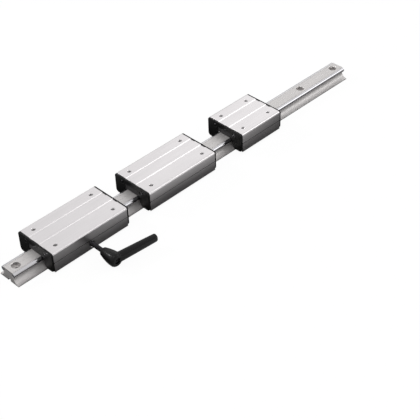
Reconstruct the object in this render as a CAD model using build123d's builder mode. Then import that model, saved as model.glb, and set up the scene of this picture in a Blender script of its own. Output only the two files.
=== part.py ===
from build123d import *
import os
from math import cos, radians, sin, sqrt, tan

# A roller guide: an aluminium rail with a steel shaft in each upper corner, and three carriages whose
# grooved rollers run on the outer sides of the shafts. The near carriage has a clamp with a lever.
# Millimetres. The rail runs along X, its underside lies on Z = 0 and its middle is at the origin.

# Rail
rail_length = 500.0
rail_height = 14.0
foot_width = 29.0
foot_edge = 1.4
foot_round = 0.6
waist_width = 14.4
waist_height = 8.0
flank_hollow = 1.2
channel_width = 3.6
channel_depth = 2.8
scribe_depth = 0.3
hole_pitch = 60.0
hole_end_distance = 10.0
hole_diameter = 5.3
counterbore_diameter = 9.0
counterbore_depth = 5.2

# Guide shafts
shaft_diameter = 5.0
shaft_spacing = 16.0
shaft_below_top = 0.1
shaft_chamfer = 0.3
upper_lip_cover = 0.6
lower_lip_reach = 1.0
lower_lip_thickness = 0.7

# Carriages, and the gaps that they stand apart, from the rail's near end onwards
carriage_height = 24.0
mounting_height = 26.5
long_body = 95.5
short_body = 61.0
rail_showing = 34.3
gap_near_to_middle = 28.0
gap_middle_to_far = 40.1
tapped_hole_inset = {"near": 10.5, "middle": 10.5, "far": 10.0}
axle_inset = {"near": 18.0, "middle": 18.0, "far": 17.0}
tapped_gauge = 34.0
tapped_diameter = 3.3
tapped_countersink = 4.6
leg_thickness = 3.2
leg_round = 0.8
top_round = 2.5
roller_side_clearance = 1.3
roller_ceiling = 18.6
centre_rib_width = 14.0
top_clearance = 2.0
top_channel_inner = 4.4
top_channel_outer = 11.4
top_channel_depth = 0.7
side_line_drop = 12.1
side_line_width = 0.45
side_line_depth = 0.5

# Track rollers
roller_diameter = 12.0
roller_width = 6.0
roller_chamfer = 0.3
groove_width = 4.25
contact_angle = 30.0
roller_preload_gap = 0.04
roller_bore = 8.2
inner_ring_width = 6.4
inner_ring_bore = 5.0
collar_diameter = 8.0
collar_hexagon = 7.6
eccentricity = 0.4
bolt_diameter = 4.0
bolt_head_diameter = 7.0
bolt_head_height = 2.6
bolt_socket = 2.5
bolt_socket_depth = 1.3
bolt_engagement = 5.5
bolt_hole_spare = 0.5

# End plates, their screws and the wipers
plate_thickness = 2.0
plate_inset = 0.15
plate_foot_round = 4.0
plate_opening_gap = 1.2
wiper_window_width = 20.9
wiper_window_top = 20.6
wiper_flange_width = 23.4
wiper_flange_top = 21.6
wiper_flange_thickness = 0.9
wiper_front_setback = 0.4
wiper_gap = 0.3
wiper_tab_bottom = 9.0
plate_screw_gauge = 29.5
plate_screw_height = 21.0
plate_screw_diameter = 2.5
plate_screw_length = 5.0
screw_head_diameter = 4.4
screw_head_height = 1.0
screw_recess_diameter = 5.0
screw_recess_depth = 1.1
screw_hole_spare = 0.3

# Clamp of the near carriage
clamp_drop = 2.1
block_length = 14.0
block_height = 10.0
block_depth = 10.0
block_round = 1.0
block_spigot_diameter = 7.6
block_spigot_setback = 0.4
shoe_diameter = 7.0
shoe_length = 6.5
shoe_reach = 1.4
shoe_bore_spare = 1.0
stud_diameter = 5.0

# Clamping lever, lengths along its axis measured outwards from the side of the carriage
lever_start = 16.5
hub_length = 22.0
hub_base_diameter = 8.5
hub_top_diameter = 15.4
hub_barrel = 6.0
hub_top_round = 2.6
hub_base_chamfer = 0.3
arm_root = 33.8
arm_reach = 49.0
arm_rise = 8.0
arm_turn = 1.5
arm_root_width = 12.0
arm_root_thickness = 9.6
arm_tip_width = 9.0
arm_tip_thickness = 7.6
arm_tip_round = 2.0
insert_diameter = 6.6
insert_showing = 1.5
tooth_count = 12
tooth_depth = 0.5
tooth_height = 3.3
tooth_gap = 0.12
insert_length = 11.2
handle_web = 2.2
handle_web_gap = 0.4
handle_cavity_diameter = 6.6
lever_screw_diameter = 3.0
lever_screw_head_diameter = 5.5
lever_screw_head_height = 2.0
lever_screw_socket = 2.0
lever_screw_depth = 6.0
lever_screw_spare = 0.4
spring_wire = 0.5
spring_diameter = 4.8
spring_length = 6.2
spring_turns = 4.0

# Clearances
seat_gap = 0.02
running_gap = 0.05
shank_clearance = 0.3

# Places worked out from the sizes
shaft_radius = shaft_diameter / 2
shaft_y = shaft_spacing / 2
shaft_z = rail_height - shaft_below_top - shaft_radius
over_shafts = shaft_spacing + shaft_diameter
carriage_bottom = mounting_height - carriage_height
rib_ceiling = rail_height + top_clearance
groove_depth = groove_width / 2 * tan(radians(contact_angle))
groove_root_radius = roller_diameter / 2 - groove_depth
apex_distance = shaft_radius / cos(radians(contact_angle)) + roller_preload_gap
axle_y = shaft_y + apex_distance + groove_root_radius
cavity_half = axle_y + roller_diameter / 2 + roller_side_clearance
carriage_width = 2 * (cavity_half + leg_thickness)
body_length = {"near": long_body, "middle": long_body, "far": short_body}
near_centre = -rail_length / 2 + rail_showing + plate_thickness + long_body / 2
middle_centre = near_centre + long_body + 2 * plate_thickness + gap_near_to_middle
far_centre = middle_centre + (long_body + short_body) / 2 + 2 * plate_thickness + gap_middle_to_far
carriage_centre = {"near": near_centre, "middle": middle_centre, "far": far_centre}
tapped_spacing = {name: body_length[name] - 2 * tapped_hole_inset[name] for name in body_length}
roller_spacing = {name: body_length[name] - 2 * axle_inset[name] for name in body_length}
inner_ring_top = shaft_z + inner_ring_width / 2
inner_ring_bottom = shaft_z - inner_ring_width / 2
opening_half = over_shafts / 2 + plate_opening_gap
opening_foot = foot_width / 2 + plate_opening_gap
opening_top = rail_height + plate_opening_gap
clamp_x = carriage_centre["near"]
clamp_z = shaft_z - clamp_drop
side_y = carriage_width / 2
lever_plane = Plane(origin=(clamp_x, -side_y, clamp_z), x_dir=(0, -1, 0), z_dir=(0, 0, 1))
lever_axis = Axis((clamp_x, -side_y, clamp_z), (0, -1, 0))

os.makedirs("parts", exist_ok=True)


def save(part, name):
    """Label a finished piece and write its file."""
    part.label = name
    export_step(part, f"parts/{name}.step")


def make_rail():
    """The extrusion: a foot with hollow flanks, a waist, and two seats that grip the shafts."""
    seat = shaft_radius + seat_gap
    upper_tip = (shaft_y - upper_lip_cover, shaft_z + sqrt(seat**2 - upper_lip_cover**2))
    lower_tip = (shaft_y + lower_lip_reach, shaft_z - sqrt(seat**2 - lower_lip_reach**2))
    seat_inside = (shaft_y - seat, shaft_z)
    lip_under = (lower_tip[0], lower_tip[1] - lower_lip_thickness)
    waist = (waist_width / 2, waist_height)
    foot_top = (foot_width / 2, foot_edge)
    chord = sqrt((foot_top[0] - waist[0]) ** 2 + (foot_top[1] - waist[1]) ** 2)
    flank_middle = (
        (waist[0] + foot_top[0]) / 2 - flank_hollow * (waist[1] - foot_top[1]) / chord,
        (waist[1] + foot_top[1]) / 2 - flank_hollow * (foot_top[0] - waist[0]) / chord,
    )
    hole_count = int((rail_length - 2 * hole_end_distance) / hole_pitch + 0.001) + 1
    with BuildPart() as rail:
        with BuildSketch(Plane.YZ.offset(-rail_length / 2)):
            with BuildLine():
                Polyline(
                    (0, channel_depth),
                    (channel_width / 2, channel_depth),
                    (channel_width / 2, 0),
                    (foot_width / 2 - foot_round, 0),
                )
                RadiusArc(
                    (foot_width / 2 - foot_round, 0), (foot_width / 2, foot_round), -foot_round
                )
                Line((foot_width / 2, foot_round), foot_top)
                ThreePointArc(foot_top, flank_middle, waist)
                Polyline(waist, lip_under, lower_tip)
                ThreePointArc(lower_tip, seat_inside, upper_tip)
                Polyline(
                    upper_tip,
                    (upper_tip[0], rail_height),
                    (scribe_depth, rail_height),
                    (0, rail_height - scribe_depth),
                    (0, channel_depth),
                )
            make_face()
            mirror(about=Plane.YZ)
        extrude(amount=rail_length)
        with Locations(Plane.XY.offset(rail_height)):
            with GridLocations(hole_pitch, 0, hole_count, 1):
                CounterBoreHole(hole_diameter / 2, counterbore_diameter / 2, counterbore_depth)
    save(rail.part, "rail_extrusion")


def make_shaft(side, name):
    """A guide shaft as long as the rail, with broken edges."""
    with BuildPart() as shaft:
        with BuildSketch(Plane.YZ.offset(-rail_length / 2)):
            with Locations((side * shaft_y, shaft_z)):
                Circle(shaft_radius)
        extrude(amount=rail_length)
        chamfer(shaft.edges(), length=shaft_chamfer)
    save(shaft.part, name)


def make_body(which):
    """A carriage body: an inverted U, two shallow channels along its top and a fine groove in each side."""
    length = body_length[which]
    centre = carriage_centre[which]
    middle_z = (mounting_height + carriage_bottom) / 2
    channel_floor = mounting_height - top_channel_depth
    with BuildPart() as body:
        with BuildSketch(Plane.YZ.offset(centre - length / 2)) as section:
            with Locations((0, middle_z)):
                Rectangle(carriage_width, carriage_height)
            fillet(section.vertices().group_by(Axis.Y)[-1], radius=top_round)
            fillet(section.vertices().group_by(Axis.Y)[0], radius=leg_round)
            with Locations((0, (roller_ceiling + carriage_bottom) / 2)):
                Rectangle(2 * cavity_half, roller_ceiling - carriage_bottom, mode=Mode.SUBTRACT)
            with Locations((0, (roller_ceiling + rib_ceiling) / 2)):
                Rectangle(centre_rib_width, roller_ceiling - rib_ceiling)
            for side in (-1, 1):
                with BuildLine():
                    Polyline(
                        (side * top_channel_inner, mounting_height),
                        (side * (top_channel_inner + top_channel_depth), channel_floor),
                        (side * (top_channel_outer - top_channel_depth), channel_floor),
                        (side * top_channel_outer, mounting_height),
                        close=True,
                    )
                make_face(mode=Mode.SUBTRACT)
                with Locations((side * carriage_width / 2, mounting_height - side_line_drop)):
                    Rectangle(2 * side_line_depth, side_line_width, mode=Mode.SUBTRACT)
        extrude(amount=length)
        with Locations(Plane.XY.offset(mounting_height)):
            with Locations((centre, 0)):
                with GridLocations(tapped_spacing[which], tapped_gauge, 2, 2):
                    CounterSinkHole(tapped_diameter / 2, tapped_countersink / 2)
        for side, shift in ((1, 0.0), (-1, eccentricity)):
            with BuildSketch(Plane.XY.offset(roller_ceiling)):
                with Locations((centre + shift, side * axle_y)):
                    with GridLocations(roller_spacing[which], 0, 2, 1):
                        Circle(bolt_diameter / 2 + seat_gap)
            extrude(amount=bolt_engagement + bolt_hole_spare, mode=Mode.SUBTRACT)
        for end in (-1, 1):
            with BuildSketch(Plane.YZ.offset(centre + end * length / 2)):
                with Locations((0, plate_screw_height)):
                    with GridLocations(plate_screw_gauge, 0, 2, 1):
                        Circle(plate_screw_diameter / 2 + seat_gap)
            extrude(amount=-end * (plate_screw_length + screw_hole_spare), mode=Mode.SUBTRACT)
        if which == "near":
            with BuildSketch(Plane.XZ.offset(cavity_half)):
                with Locations((clamp_x, clamp_z)):
                    Circle(block_spigot_diameter / 2 + seat_gap)
            extrude(amount=leg_thickness, mode=Mode.SUBTRACT)
    save(body.part, f"{which}_carriage_body")


def make_end_plate(which, end):
    """A plastic end plate: rounded outline, opening for the rail, window and pocket for the wiper."""
    name = f"{which}_{'front' if end < 0 else 'rear'}_end_plate"
    body_end = carriage_centre[which] + end * body_length[which] / 2
    middle_z = (mounting_height + carriage_bottom) / 2
    with BuildPart() as plate:
        with BuildSketch(Plane.YZ.offset(body_end)) as outline:
            with Locations((0, middle_z)):
                Rectangle(carriage_width - 2 * plate_inset, carriage_height - 2 * plate_inset)
            fillet(outline.vertices().group_by(Axis.Y)[-1], radius=top_round)
            fillet(outline.vertices().group_by(Axis.Y)[0], radius=plate_foot_round)
            with Locations((0, opening_top / 2)):
                Rectangle(2 * opening_half, opening_top, mode=Mode.SUBTRACT)
            Polygon(
                (-opening_half, waist_height),
                (-opening_foot, foot_edge),
                (opening_foot, foot_edge),
                (opening_half, waist_height),
                align=(Align.NONE, Align.NONE),
                mode=Mode.SUBTRACT,
            )
            with Locations((0, (wiper_window_top + shaft_z) / 2)):
                Rectangle(wiper_window_width, wiper_window_top - shaft_z, mode=Mode.SUBTRACT)
        extrude(amount=end * plate_thickness)
        with BuildSketch(Plane.YZ.offset(body_end)):
            with Locations((0, (wiper_flange_top + wiper_tab_bottom) / 2)):
                Rectangle(
                    wiper_flange_width + 2 * running_gap,
                    wiper_flange_top - wiper_tab_bottom + 2 * running_gap,
                )
        extrude(amount=end * (wiper_flange_thickness + running_gap), mode=Mode.SUBTRACT)
        with BuildSketch(Plane.YZ.offset(body_end + end * plate_thickness)):
            with Locations((0, plate_screw_height)):
                with GridLocations(plate_screw_gauge, 0, 2, 1):
                    Circle(screw_recess_diameter / 2)
        extrude(amount=-end * screw_recess_depth, mode=Mode.SUBTRACT)
        with BuildSketch(Plane.YZ.offset(body_end)):
            with Locations((0, plate_screw_height)):
                with GridLocations(plate_screw_gauge, 0, 2, 1):
                    Circle(plate_screw_diameter / 2 + seat_gap)
        extrude(amount=end * plate_thickness, mode=Mode.SUBTRACT)
    save(plate.part, name)


def make_wipers(which):
    """Two rubber wipers: a flange behind the plate, a raised strip in its window, a tab by each shaft."""
    rail_half = over_shafts / 2 + wiper_gap
    rail_top = rail_height + wiper_gap
    front = plate_thickness - wiper_front_setback
    with BuildPart() as wipers:
        for end in (-1, 1):
            body_end = carriage_centre[which] + end * body_length[which] / 2
            with BuildSketch(Plane.YZ.offset(body_end)):
                with Locations((0, (wiper_flange_top + wiper_tab_bottom) / 2)):
                    Rectangle(wiper_flange_width, wiper_flange_top - wiper_tab_bottom)
                with Locations((0, (rail_top + wiper_tab_bottom) / 2)):
                    Rectangle(2 * rail_half, rail_top - wiper_tab_bottom, mode=Mode.SUBTRACT)
            extrude(amount=end * wiper_flange_thickness)
            with BuildSketch(Plane.YZ.offset(body_end)):
                with Locations((0, (wiper_window_top - running_gap + rail_top) / 2)):
                    Rectangle(
                        wiper_window_width - 2 * running_gap,
                        wiper_window_top - running_gap - rail_top,
                    )
            extrude(amount=end * front)
    save(wipers.part, f"{which}_rail_wipers")


def make_plate_screws(which):
    """Four flat head screws, two in each end plate, with their heads in the plate's recesses."""
    with BuildPart() as screws:
        for end in (-1, 1):
            body_end = carriage_centre[which] + end * body_length[which] / 2
            head_seat = body_end + end * (plate_thickness - screw_recess_depth)
            with BuildSketch(Plane.YZ.offset(head_seat)):
                with Locations((0, plate_screw_height)):
                    with GridLocations(plate_screw_gauge, 0, 2, 1):
                        Circle(screw_head_diameter / 2)
            extrude(amount=end * screw_head_height)
            with BuildSketch(Plane.YZ.offset(head_seat)):
                with Locations((0, plate_screw_height)):
                    with GridLocations(plate_screw_gauge, 0, 2, 1):
                        Circle(plate_screw_diameter / 2)
            extrude(amount=-end * (plate_screw_length + plate_thickness - screw_recess_depth))
    save(screws.part, f"{which}_end_plate_screws")


def roller_places(which, side):
    """The two roller axles on one side of a carriage."""
    half = roller_spacing[which] / 2
    centre = carriage_centre[which]
    return [(centre - half, side * axle_y), (centre + half, side * axle_y)]


def make_roller(which, x, y, name):
    """The outer ring of a track roller: a V groove that meets the shaft at two lines."""
    outer = roller_diameter / 2
    half = roller_width / 2
    with BuildPart() as roller:
        with BuildSketch(Plane(origin=(x, y, shaft_z), x_dir=(1, 0, 0), z_dir=(0, -1, 0))):
            with BuildLine():
                Polyline(
                    (roller_bore / 2, -half),
                    (outer - roller_chamfer, -half),
                    (outer, -half + roller_chamfer),
                    (outer, -groove_width / 2),
                    (groove_root_radius, 0),
                    (outer, groove_width / 2),
                    (outer, half - roller_chamfer),
                    (outer - roller_chamfer, half),
                    (roller_bore / 2, half),
                    close=True,
                )
            make_face()
        revolve(axis=Axis((x, y, 0), (0, 0, 1)))
    save(roller.part, f"{which}_{name}_roller")


def make_inner_rings(which):
    """The four inner rings with their shields, a little wider than the outer rings."""
    with BuildPart() as rings:
        with BuildSketch(Plane.XY.offset(inner_ring_bottom)):
            with Locations(*roller_places(which, -1), *roller_places(which, 1)):
                Circle(roller_bore / 2 - running_gap)
                Circle(inner_ring_bore / 2, mode=Mode.SUBTRACT)
        extrude(amount=inner_ring_width)
    save(rings.part, f"{which}_roller_inner_rings")


def make_bushes(which, side, name):
    """Two bushes: a collar against the ceiling and a sleeve through the ring, bored for the bolt."""
    shift = eccentricity if side < 0 else 0.0
    with BuildPart() as bushes:
        with BuildSketch(Plane.XY.offset(inner_ring_top)):
            with Locations(*roller_places(which, side)):
                if side < 0:
                    RegularPolygon(collar_hexagon / 2, 6, major_radius=False)
                else:
                    Circle(collar_diameter / 2)
        extrude(amount=roller_ceiling - inner_ring_top)
        with BuildSketch(Plane.XY.offset(inner_ring_bottom)):
            with Locations(*roller_places(which, side)):
                Circle(inner_ring_bore / 2 - seat_gap)
        extrude(amount=inner_ring_width)
        with BuildSketch(Plane.XY.offset(inner_ring_bottom)):
            with Locations(*[(x + shift, y) for x, y in roller_places(which, side)]):
                Circle(bolt_diameter / 2 + seat_gap)
        extrude(amount=roller_ceiling - inner_ring_bottom, mode=Mode.SUBTRACT)
    save(bushes.part, f"{which}_{name}_bushes")


def make_roller_bolts(which):
    """Four low head socket bolts, screwed up into the body from below."""
    places = roller_places(which, 1) + [(x + eccentricity, y) for x, y in roller_places(which, -1)]
    with BuildPart() as bolts:
        with BuildSketch(Plane.XY.offset(inner_ring_bottom - bolt_head_height)):
            with Locations(*places):
                Circle(bolt_head_diameter / 2)
        extrude(amount=bolt_head_height)
        with BuildSketch(Plane.XY.offset(inner_ring_bottom)):
            with Locations(*places):
                Circle(bolt_diameter / 2)
        extrude(amount=roller_ceiling - inner_ring_bottom + bolt_engagement)
        with BuildSketch(Plane.XY.offset(inner_ring_bottom - bolt_head_height)):
            with Locations(*places):
                RegularPolygon(bolt_socket / 2, 6, major_radius=False)
        extrude(amount=bolt_socket_depth, mode=Mode.SUBTRACT)
    save(bolts.part, f"{which}_roller_bolts")


def make_clamp_block():
    """The threaded block in the leg: a spigot through the wall, a bore for the shoe and the thread."""
    inner_face = cavity_half - block_depth
    shoe_back = shaft_y + shoe_reach + shoe_length
    with BuildPart() as block:
        with BuildSketch(Plane.XZ.offset(inner_face)):
            with Locations((clamp_x, clamp_z)):
                RectangleRounded(block_length, block_height, block_round)
        extrude(amount=block_depth)
        with BuildSketch(Plane.XZ.offset(cavity_half)):
            with Locations((clamp_x, clamp_z)):
                Circle(block_spigot_diameter / 2)
        extrude(amount=leg_thickness - block_spigot_setback)
        with BuildSketch(Plane.XZ.offset(inner_face)):
            with Locations((clamp_x, clamp_z)):
                Circle(shoe_diameter / 2 + running_gap)
        extrude(amount=shoe_back + shoe_bore_spare - inner_face, mode=Mode.SUBTRACT)
        with BuildSketch(Plane.XZ.offset(inner_face)):
            with Locations((clamp_x, clamp_z)):
                Circle(stud_diameter / 2 + running_gap)
        extrude(amount=block_depth + leg_thickness, mode=Mode.SUBTRACT)
    save(block.part, "clamp_block")


def make_clamp_shoe():
    """The brass shoe: a round plunger whose nose is hollowed to the shaft."""
    with BuildPart() as shoe:
        with BuildSketch(Plane.XZ.offset(shaft_y + shoe_reach)):
            with Locations((clamp_x, clamp_z)):
                Circle(shoe_diameter / 2)
        extrude(amount=shoe_length)
        with BuildSketch(Plane.YZ.offset(clamp_x - shoe_diameter)):
            with Locations((-shaft_y, shaft_z)):
                Circle(shaft_radius + running_gap)
        extrude(amount=2 * shoe_diameter, mode=Mode.SUBTRACT)
    save(shoe.part, "clamp_shoe")


def tooth_star(outer_radius):
    """The toothed outline shared by the insert and the handle, as points round the lever's axis."""
    step = 360 / tooth_count / 2
    points = []
    for index in range(2 * tooth_count):
        radius = outer_radius if index % 2 == 0 else outer_radius - tooth_depth
        angle = radians(index * step)
        points.append((radius * cos(angle), radius * sin(angle)))
    return points


def lever_section(distance):
    """A plane square to the lever's axis, outwards from the side of the carriage."""
    return Plane(
        origin=(clamp_x, -side_y - distance, clamp_z), x_dir=(1, 0, 0), z_dir=(0, -1, 0)
    )


insert_start = lever_start - insert_showing
insert_end = insert_start + insert_length
tooth_start = insert_end - tooth_height
web_start = insert_end + handle_web_gap
web_end = web_start + handle_web
screw_seat = web_end + spring_length
shoe_back_y = shaft_y + shoe_reach + shoe_length


def make_lever_insert():
    """The insert: a threaded stud that bears on the shoe, a round pilot and a ring of teeth."""
    stud_inner = side_y - shoe_back_y - running_gap
    with BuildPart() as insert:
        with BuildSketch(lever_section(-stud_inner)):
            Circle(stud_diameter / 2)
        extrude(amount=stud_inner + insert_start)
        with BuildSketch(lever_section(insert_start)):
            Circle(insert_diameter / 2)
        extrude(amount=insert_length - tooth_height)
        with BuildSketch(lever_section(tooth_start)):
            with BuildLine():
                Polyline(*tooth_star(insert_diameter / 2), close=True)
            make_face()
        extrude(amount=tooth_height)
        with BuildSketch(lever_section(insert_end)):
            Circle(lever_screw_diameter / 2 + seat_gap)
        extrude(amount=-lever_screw_depth, mode=Mode.SUBTRACT)
    save(insert.part, "lever_insert")


def make_lever_handle():
    """The handle: a hub that widens to a rounded barrel, and an oval arm that rises from it."""
    hub_end = lever_start + hub_length
    base_radius = hub_base_diameter / 2
    top_radius = hub_top_diameter / 2
    dome_edge = top_radius - hub_top_round
    rise = radians(arm_rise)
    turn = radians(arm_turn)
    along = Vector(cos(rise) * cos(turn), -sin(rise), cos(rise) * sin(turn))
    across = along.cross(Vector(0, -1, 0)).normalized()
    root = Vector(clamp_x, -side_y - arm_root, clamp_z)
    tip = root + along * arm_reach
    pilot_radius = insert_diameter / 2 + 2 * running_gap
    with BuildPart() as handle:
        with BuildSketch(lever_plane):
            with BuildLine():
                Polyline(
                    (lever_start, 0),
                    (lever_start, base_radius - hub_base_chamfer),
                    (lever_start + hub_base_chamfer, base_radius),
                    (hub_end - hub_barrel, top_radius),
                    (hub_end - hub_top_round, top_radius),
                )
                RadiusArc(
                    (hub_end - hub_top_round, top_radius), (hub_end, dome_edge), hub_top_round
                )
                Polyline((hub_end, dome_edge), (hub_end, 0), (lever_start, 0))
            make_face()
        revolve(axis=lever_axis)
        with BuildSketch(Plane(origin=root, x_dir=across, z_dir=along)):
            Ellipse(arm_root_width / 2, arm_root_thickness / 2)
        with BuildSketch(Plane(origin=tip, x_dir=across, z_dir=along)):
            Ellipse(arm_tip_width / 2, arm_tip_thickness / 2)
        loft()
        fillet(handle.edges().sort_by_distance(tip)[0], radius=arm_tip_round)
        with BuildSketch(lever_section(lever_start)):
            Circle(pilot_radius)
        extrude(amount=tooth_start - lever_start, mode=Mode.SUBTRACT)
        with BuildSketch(lever_section(tooth_start)):
            with BuildLine():
                Polyline(*tooth_star(insert_diameter / 2 + tooth_gap), close=True)
            make_face()
        extrude(amount=web_start - tooth_start, mode=Mode.SUBTRACT)
        with BuildSketch(lever_section(web_start)):
            Circle(lever_screw_diameter / 2 + shank_clearance)
        extrude(amount=handle_web, mode=Mode.SUBTRACT)
        with BuildSketch(lever_section(web_end)):
            Circle(handle_cavity_diameter / 2)
        extrude(amount=hub_end - web_end, mode=Mode.SUBTRACT)
    save(handle.part, "lever_handle")


def make_lever_screw():
    """The retaining screw: a socket head that holds the spring, screwed into the insert."""
    with BuildPart() as screw:
        with BuildSketch(lever_section(screw_seat)):
            Circle(lever_screw_head_diameter / 2)
        extrude(amount=lever_screw_head_height)
        with BuildSketch(lever_section(screw_seat)):
            Circle(lever_screw_diameter / 2)
        extrude(amount=insert_end - screw_seat - lever_screw_depth + lever_screw_spare)
        with BuildSketch(lever_section(screw_seat + lever_screw_head_height)):
            RegularPolygon(lever_screw_socket / 2, 6, major_radius=False)
        extrude(amount=-lever_screw_head_height / 2, mode=Mode.SUBTRACT)
    save(screw.part, "lever_screw")


def make_lever_spring():
    """A short compression spring between the handle's web and the screw head."""
    free = spring_length - spring_wire - 2 * running_gap
    start = web_end + spring_wire / 2 + running_gap
    with BuildPart() as spring:
        with BuildLine():
            coil = Helix(
                pitch=free / spring_turns,
                height=free,
                radius=(spring_diameter - spring_wire) / 2,
                center=(clamp_x, -side_y - start, clamp_z),
                direction=(0, -1, 0),
            )
        with BuildSketch(Plane(origin=coil @ 0, z_dir=coil % 0)):
            RegularPolygon(spring_wire / 2, 6)
        sweep(is_frenet=True)
    save(spring.part, "lever_spring")


make_rail()
make_shaft(1, "left_guide_shaft")
make_shaft(-1, "right_guide_shaft")
for which in ("near", "middle", "far"):
    make_body(which)
    make_end_plate(which, -1)
    make_end_plate(which, 1)
    make_wipers(which)
    make_plate_screws(which)
    for side, side_name in ((1, "left"), (-1, "right")):
        front, rear = roller_places(which, side)
        make_roller(which, *front, f"front_{side_name}")
        make_roller(which, *rear, f"rear_{side_name}")
    make_inner_rings(which)
    make_bushes(which, 1, "concentric")
    make_bushes(which, -1, "eccentric")
    make_roller_bolts(which)
make_clamp_block()
make_clamp_shoe()
make_lever_insert()
make_lever_handle()
make_lever_screw()
make_lever_spring()
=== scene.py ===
from math import atan2, copysign, cos, pi, radians, sin, sqrt, tan

import bmesh
import bpy
from mathutils import Matrix, Vector


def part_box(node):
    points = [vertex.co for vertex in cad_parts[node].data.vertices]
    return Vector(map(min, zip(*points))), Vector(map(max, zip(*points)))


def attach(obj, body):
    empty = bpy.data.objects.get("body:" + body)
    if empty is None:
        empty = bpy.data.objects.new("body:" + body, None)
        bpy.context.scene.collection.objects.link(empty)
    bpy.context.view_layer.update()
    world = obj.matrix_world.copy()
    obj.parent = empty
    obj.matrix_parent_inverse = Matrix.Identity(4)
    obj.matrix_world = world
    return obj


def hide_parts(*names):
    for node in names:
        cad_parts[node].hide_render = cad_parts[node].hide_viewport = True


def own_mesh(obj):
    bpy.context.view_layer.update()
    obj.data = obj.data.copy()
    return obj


bl_info = {
    "name": "Roller guide with clamped carriage",
    "version": (1, 0, 0),
    "blender": (4, 5, 0),
    "location": "View3D > Sidebar > Roller guide",
    "description": "Builds the dressed pieces of a roller guide around its packed frame",
    "category": "Add Mesh",
}

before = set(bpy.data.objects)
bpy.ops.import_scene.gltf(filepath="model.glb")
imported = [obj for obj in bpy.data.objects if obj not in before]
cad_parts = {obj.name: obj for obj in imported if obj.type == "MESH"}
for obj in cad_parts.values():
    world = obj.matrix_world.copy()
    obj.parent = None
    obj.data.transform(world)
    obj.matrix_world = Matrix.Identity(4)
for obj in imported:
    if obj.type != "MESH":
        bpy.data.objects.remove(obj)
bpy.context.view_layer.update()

MM = 0.001
CARRIAGES = ("near", "middle", "far")


def span(node, axis):
    """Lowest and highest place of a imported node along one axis, in mm."""
    low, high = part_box(node)
    return low[axis] / MM, high[axis] / MM


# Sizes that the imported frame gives, in mm
RAIL_START, RAIL_END = span("rail_extrusion", 0)
RAIL_HEIGHT = span("rail_extrusion", 2)[1]
FOOT_HALF = span("rail_extrusion", 1)[1]
SHAFT_RADIUS = (span("left_guide_shaft", 1)[1] - span("left_guide_shaft", 1)[0]) / 2
SHAFT_Y = sum(span("left_guide_shaft", 1)) / 2
SHAFT_Z = sum(span("left_guide_shaft", 2)) / 2
SIDE_Y = span("near_carriage_body", 1)[1]
CARRIAGE_BOTTOM, CARRIAGE_TOP = span("near_carriage_body", 2)
AXLE_Y = sum(span("near_front_left_roller", 1)) / 2
CLAMP_X = sum(span("clamp_shoe", 0)) / 2
CLAMP_Z = sum(span("clamp_shoe", 2)) / 2

# Fits, broken edges, and how far cutters run past the faces they open, in mm
FIT, RUNNING_GAP = 0.02, 0.05
FINE_BREAK, RING_BREAK, MOUTH_BREAK, BREAK, CHAMFER, ROD_CHAMFER = 0.1, 0.15, 0.2, 0.25, 0.3, 0.35
OVERLAP, OVER, PAST = 0.01, 0.5, 1.0

# Rail, in mm
FOOT_EDGE, FOOT_ROUND, FLANK_HOLLOW = 1.4, 0.6, 2.0
WAIST_HALF, WAIST_HEIGHT = 7.2, 8.0
CHANNEL_HALF, CHANNEL_DEPTH, SCRIBE_DEPTH = 1.8, 2.8, 0.3
LIP_COVER, LOWER_LIP_REACH, LOWER_LIP_THICKNESS = 0.6, 1.0, 0.7
HOLE_PITCH, HOLE_END, HOLE_RADIUS = 60.0, 10.0, 2.65
COUNTERBORE_RADIUS, COUNTERBORE_DEPTH = 4.5, 5.2
CRIMP_Y, CRIMP_HALF, CRIMP_DEPTH = 6.4, 0.3, 0.45

# Carriages, in mm
LEG_THICKNESS, LEG_ROUND, TOP_ROUND, BODY_EDGE = 3.2, 0.8, 2.5, 0.12
CEILING, RIB_CEILING, RIB_HALF = 18.6, 16.0, 7.0
TOP_CHANNEL_INNER, TOP_CHANNEL_OUTER, TOP_CHANNEL_DEPTH = 4.4, 11.4, 0.7
SIDE_LINE_DROP, SIDE_LINE_WIDTH, SIDE_LINE_DEPTH = 12.1, 0.55, 1.4
TAPPED_GAUGE, TAPPED_RADIUS, TAPPED_MOUTH, TAPPED_PITCH = 34.0, 1.65, 2.3, 0.7
TAPPED_THREAD, MOUTH_DEPTH, BOLT_SPARE, SCREW_SPARE, DRILL_POINT = 0.35, 1.6, 0.4, 0.2, 0.1
TAPPED_INSET = {"near": 10.5, "middle": 10.5, "far": 10.0}
AXLE_INSET = {"near": 18.0, "middle": 18.0, "far": 17.0}
ECCENTRICITY = 0.4

# End plates, screws and wipers, in mm; the cross and the dome are shares of the screw's head
PLATE_THICKNESS, PLATE_INSET, PLATE_FOOT_ROUND, OPENING_GAP = 2.0, 0.15, 4.0, 1.2
WINDOW_HALF, WINDOW_TOP = 10.45, 20.6
FLANGE_HALF, FLANGE_TOP, FLANGE_THICKNESS, FLANGE_ROUND, TAB_BOTTOM = 11.7, 21.6, 0.9, 0.6, 9.0
WIPER_SETBACK, WIPER_GAP, LIP_START, LIP_EDGE = 0.4, 0.3, 0.4, 0.2
SCREW_GAUGE, SCREW_HEIGHT = 29.5, 21.0
SCREW_HEAD_RADIUS, SCREW_HEAD_HEIGHT, SCREW_RADIUS, SCREW_LENGTH = 2.2, 1.0, 1.25, 5.0
CROSS_REACH, CROSS_HALF, CROSS_FLOOR = 0.56, 0.22, 0.3
HEAD_DOME = ((1.0, 0.45), (0.93, 0.72), (0.75, 0.93), (0.5, 1.0))
RECESS_RADIUS, RECESS_DEPTH = 2.5, 1.1

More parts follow.
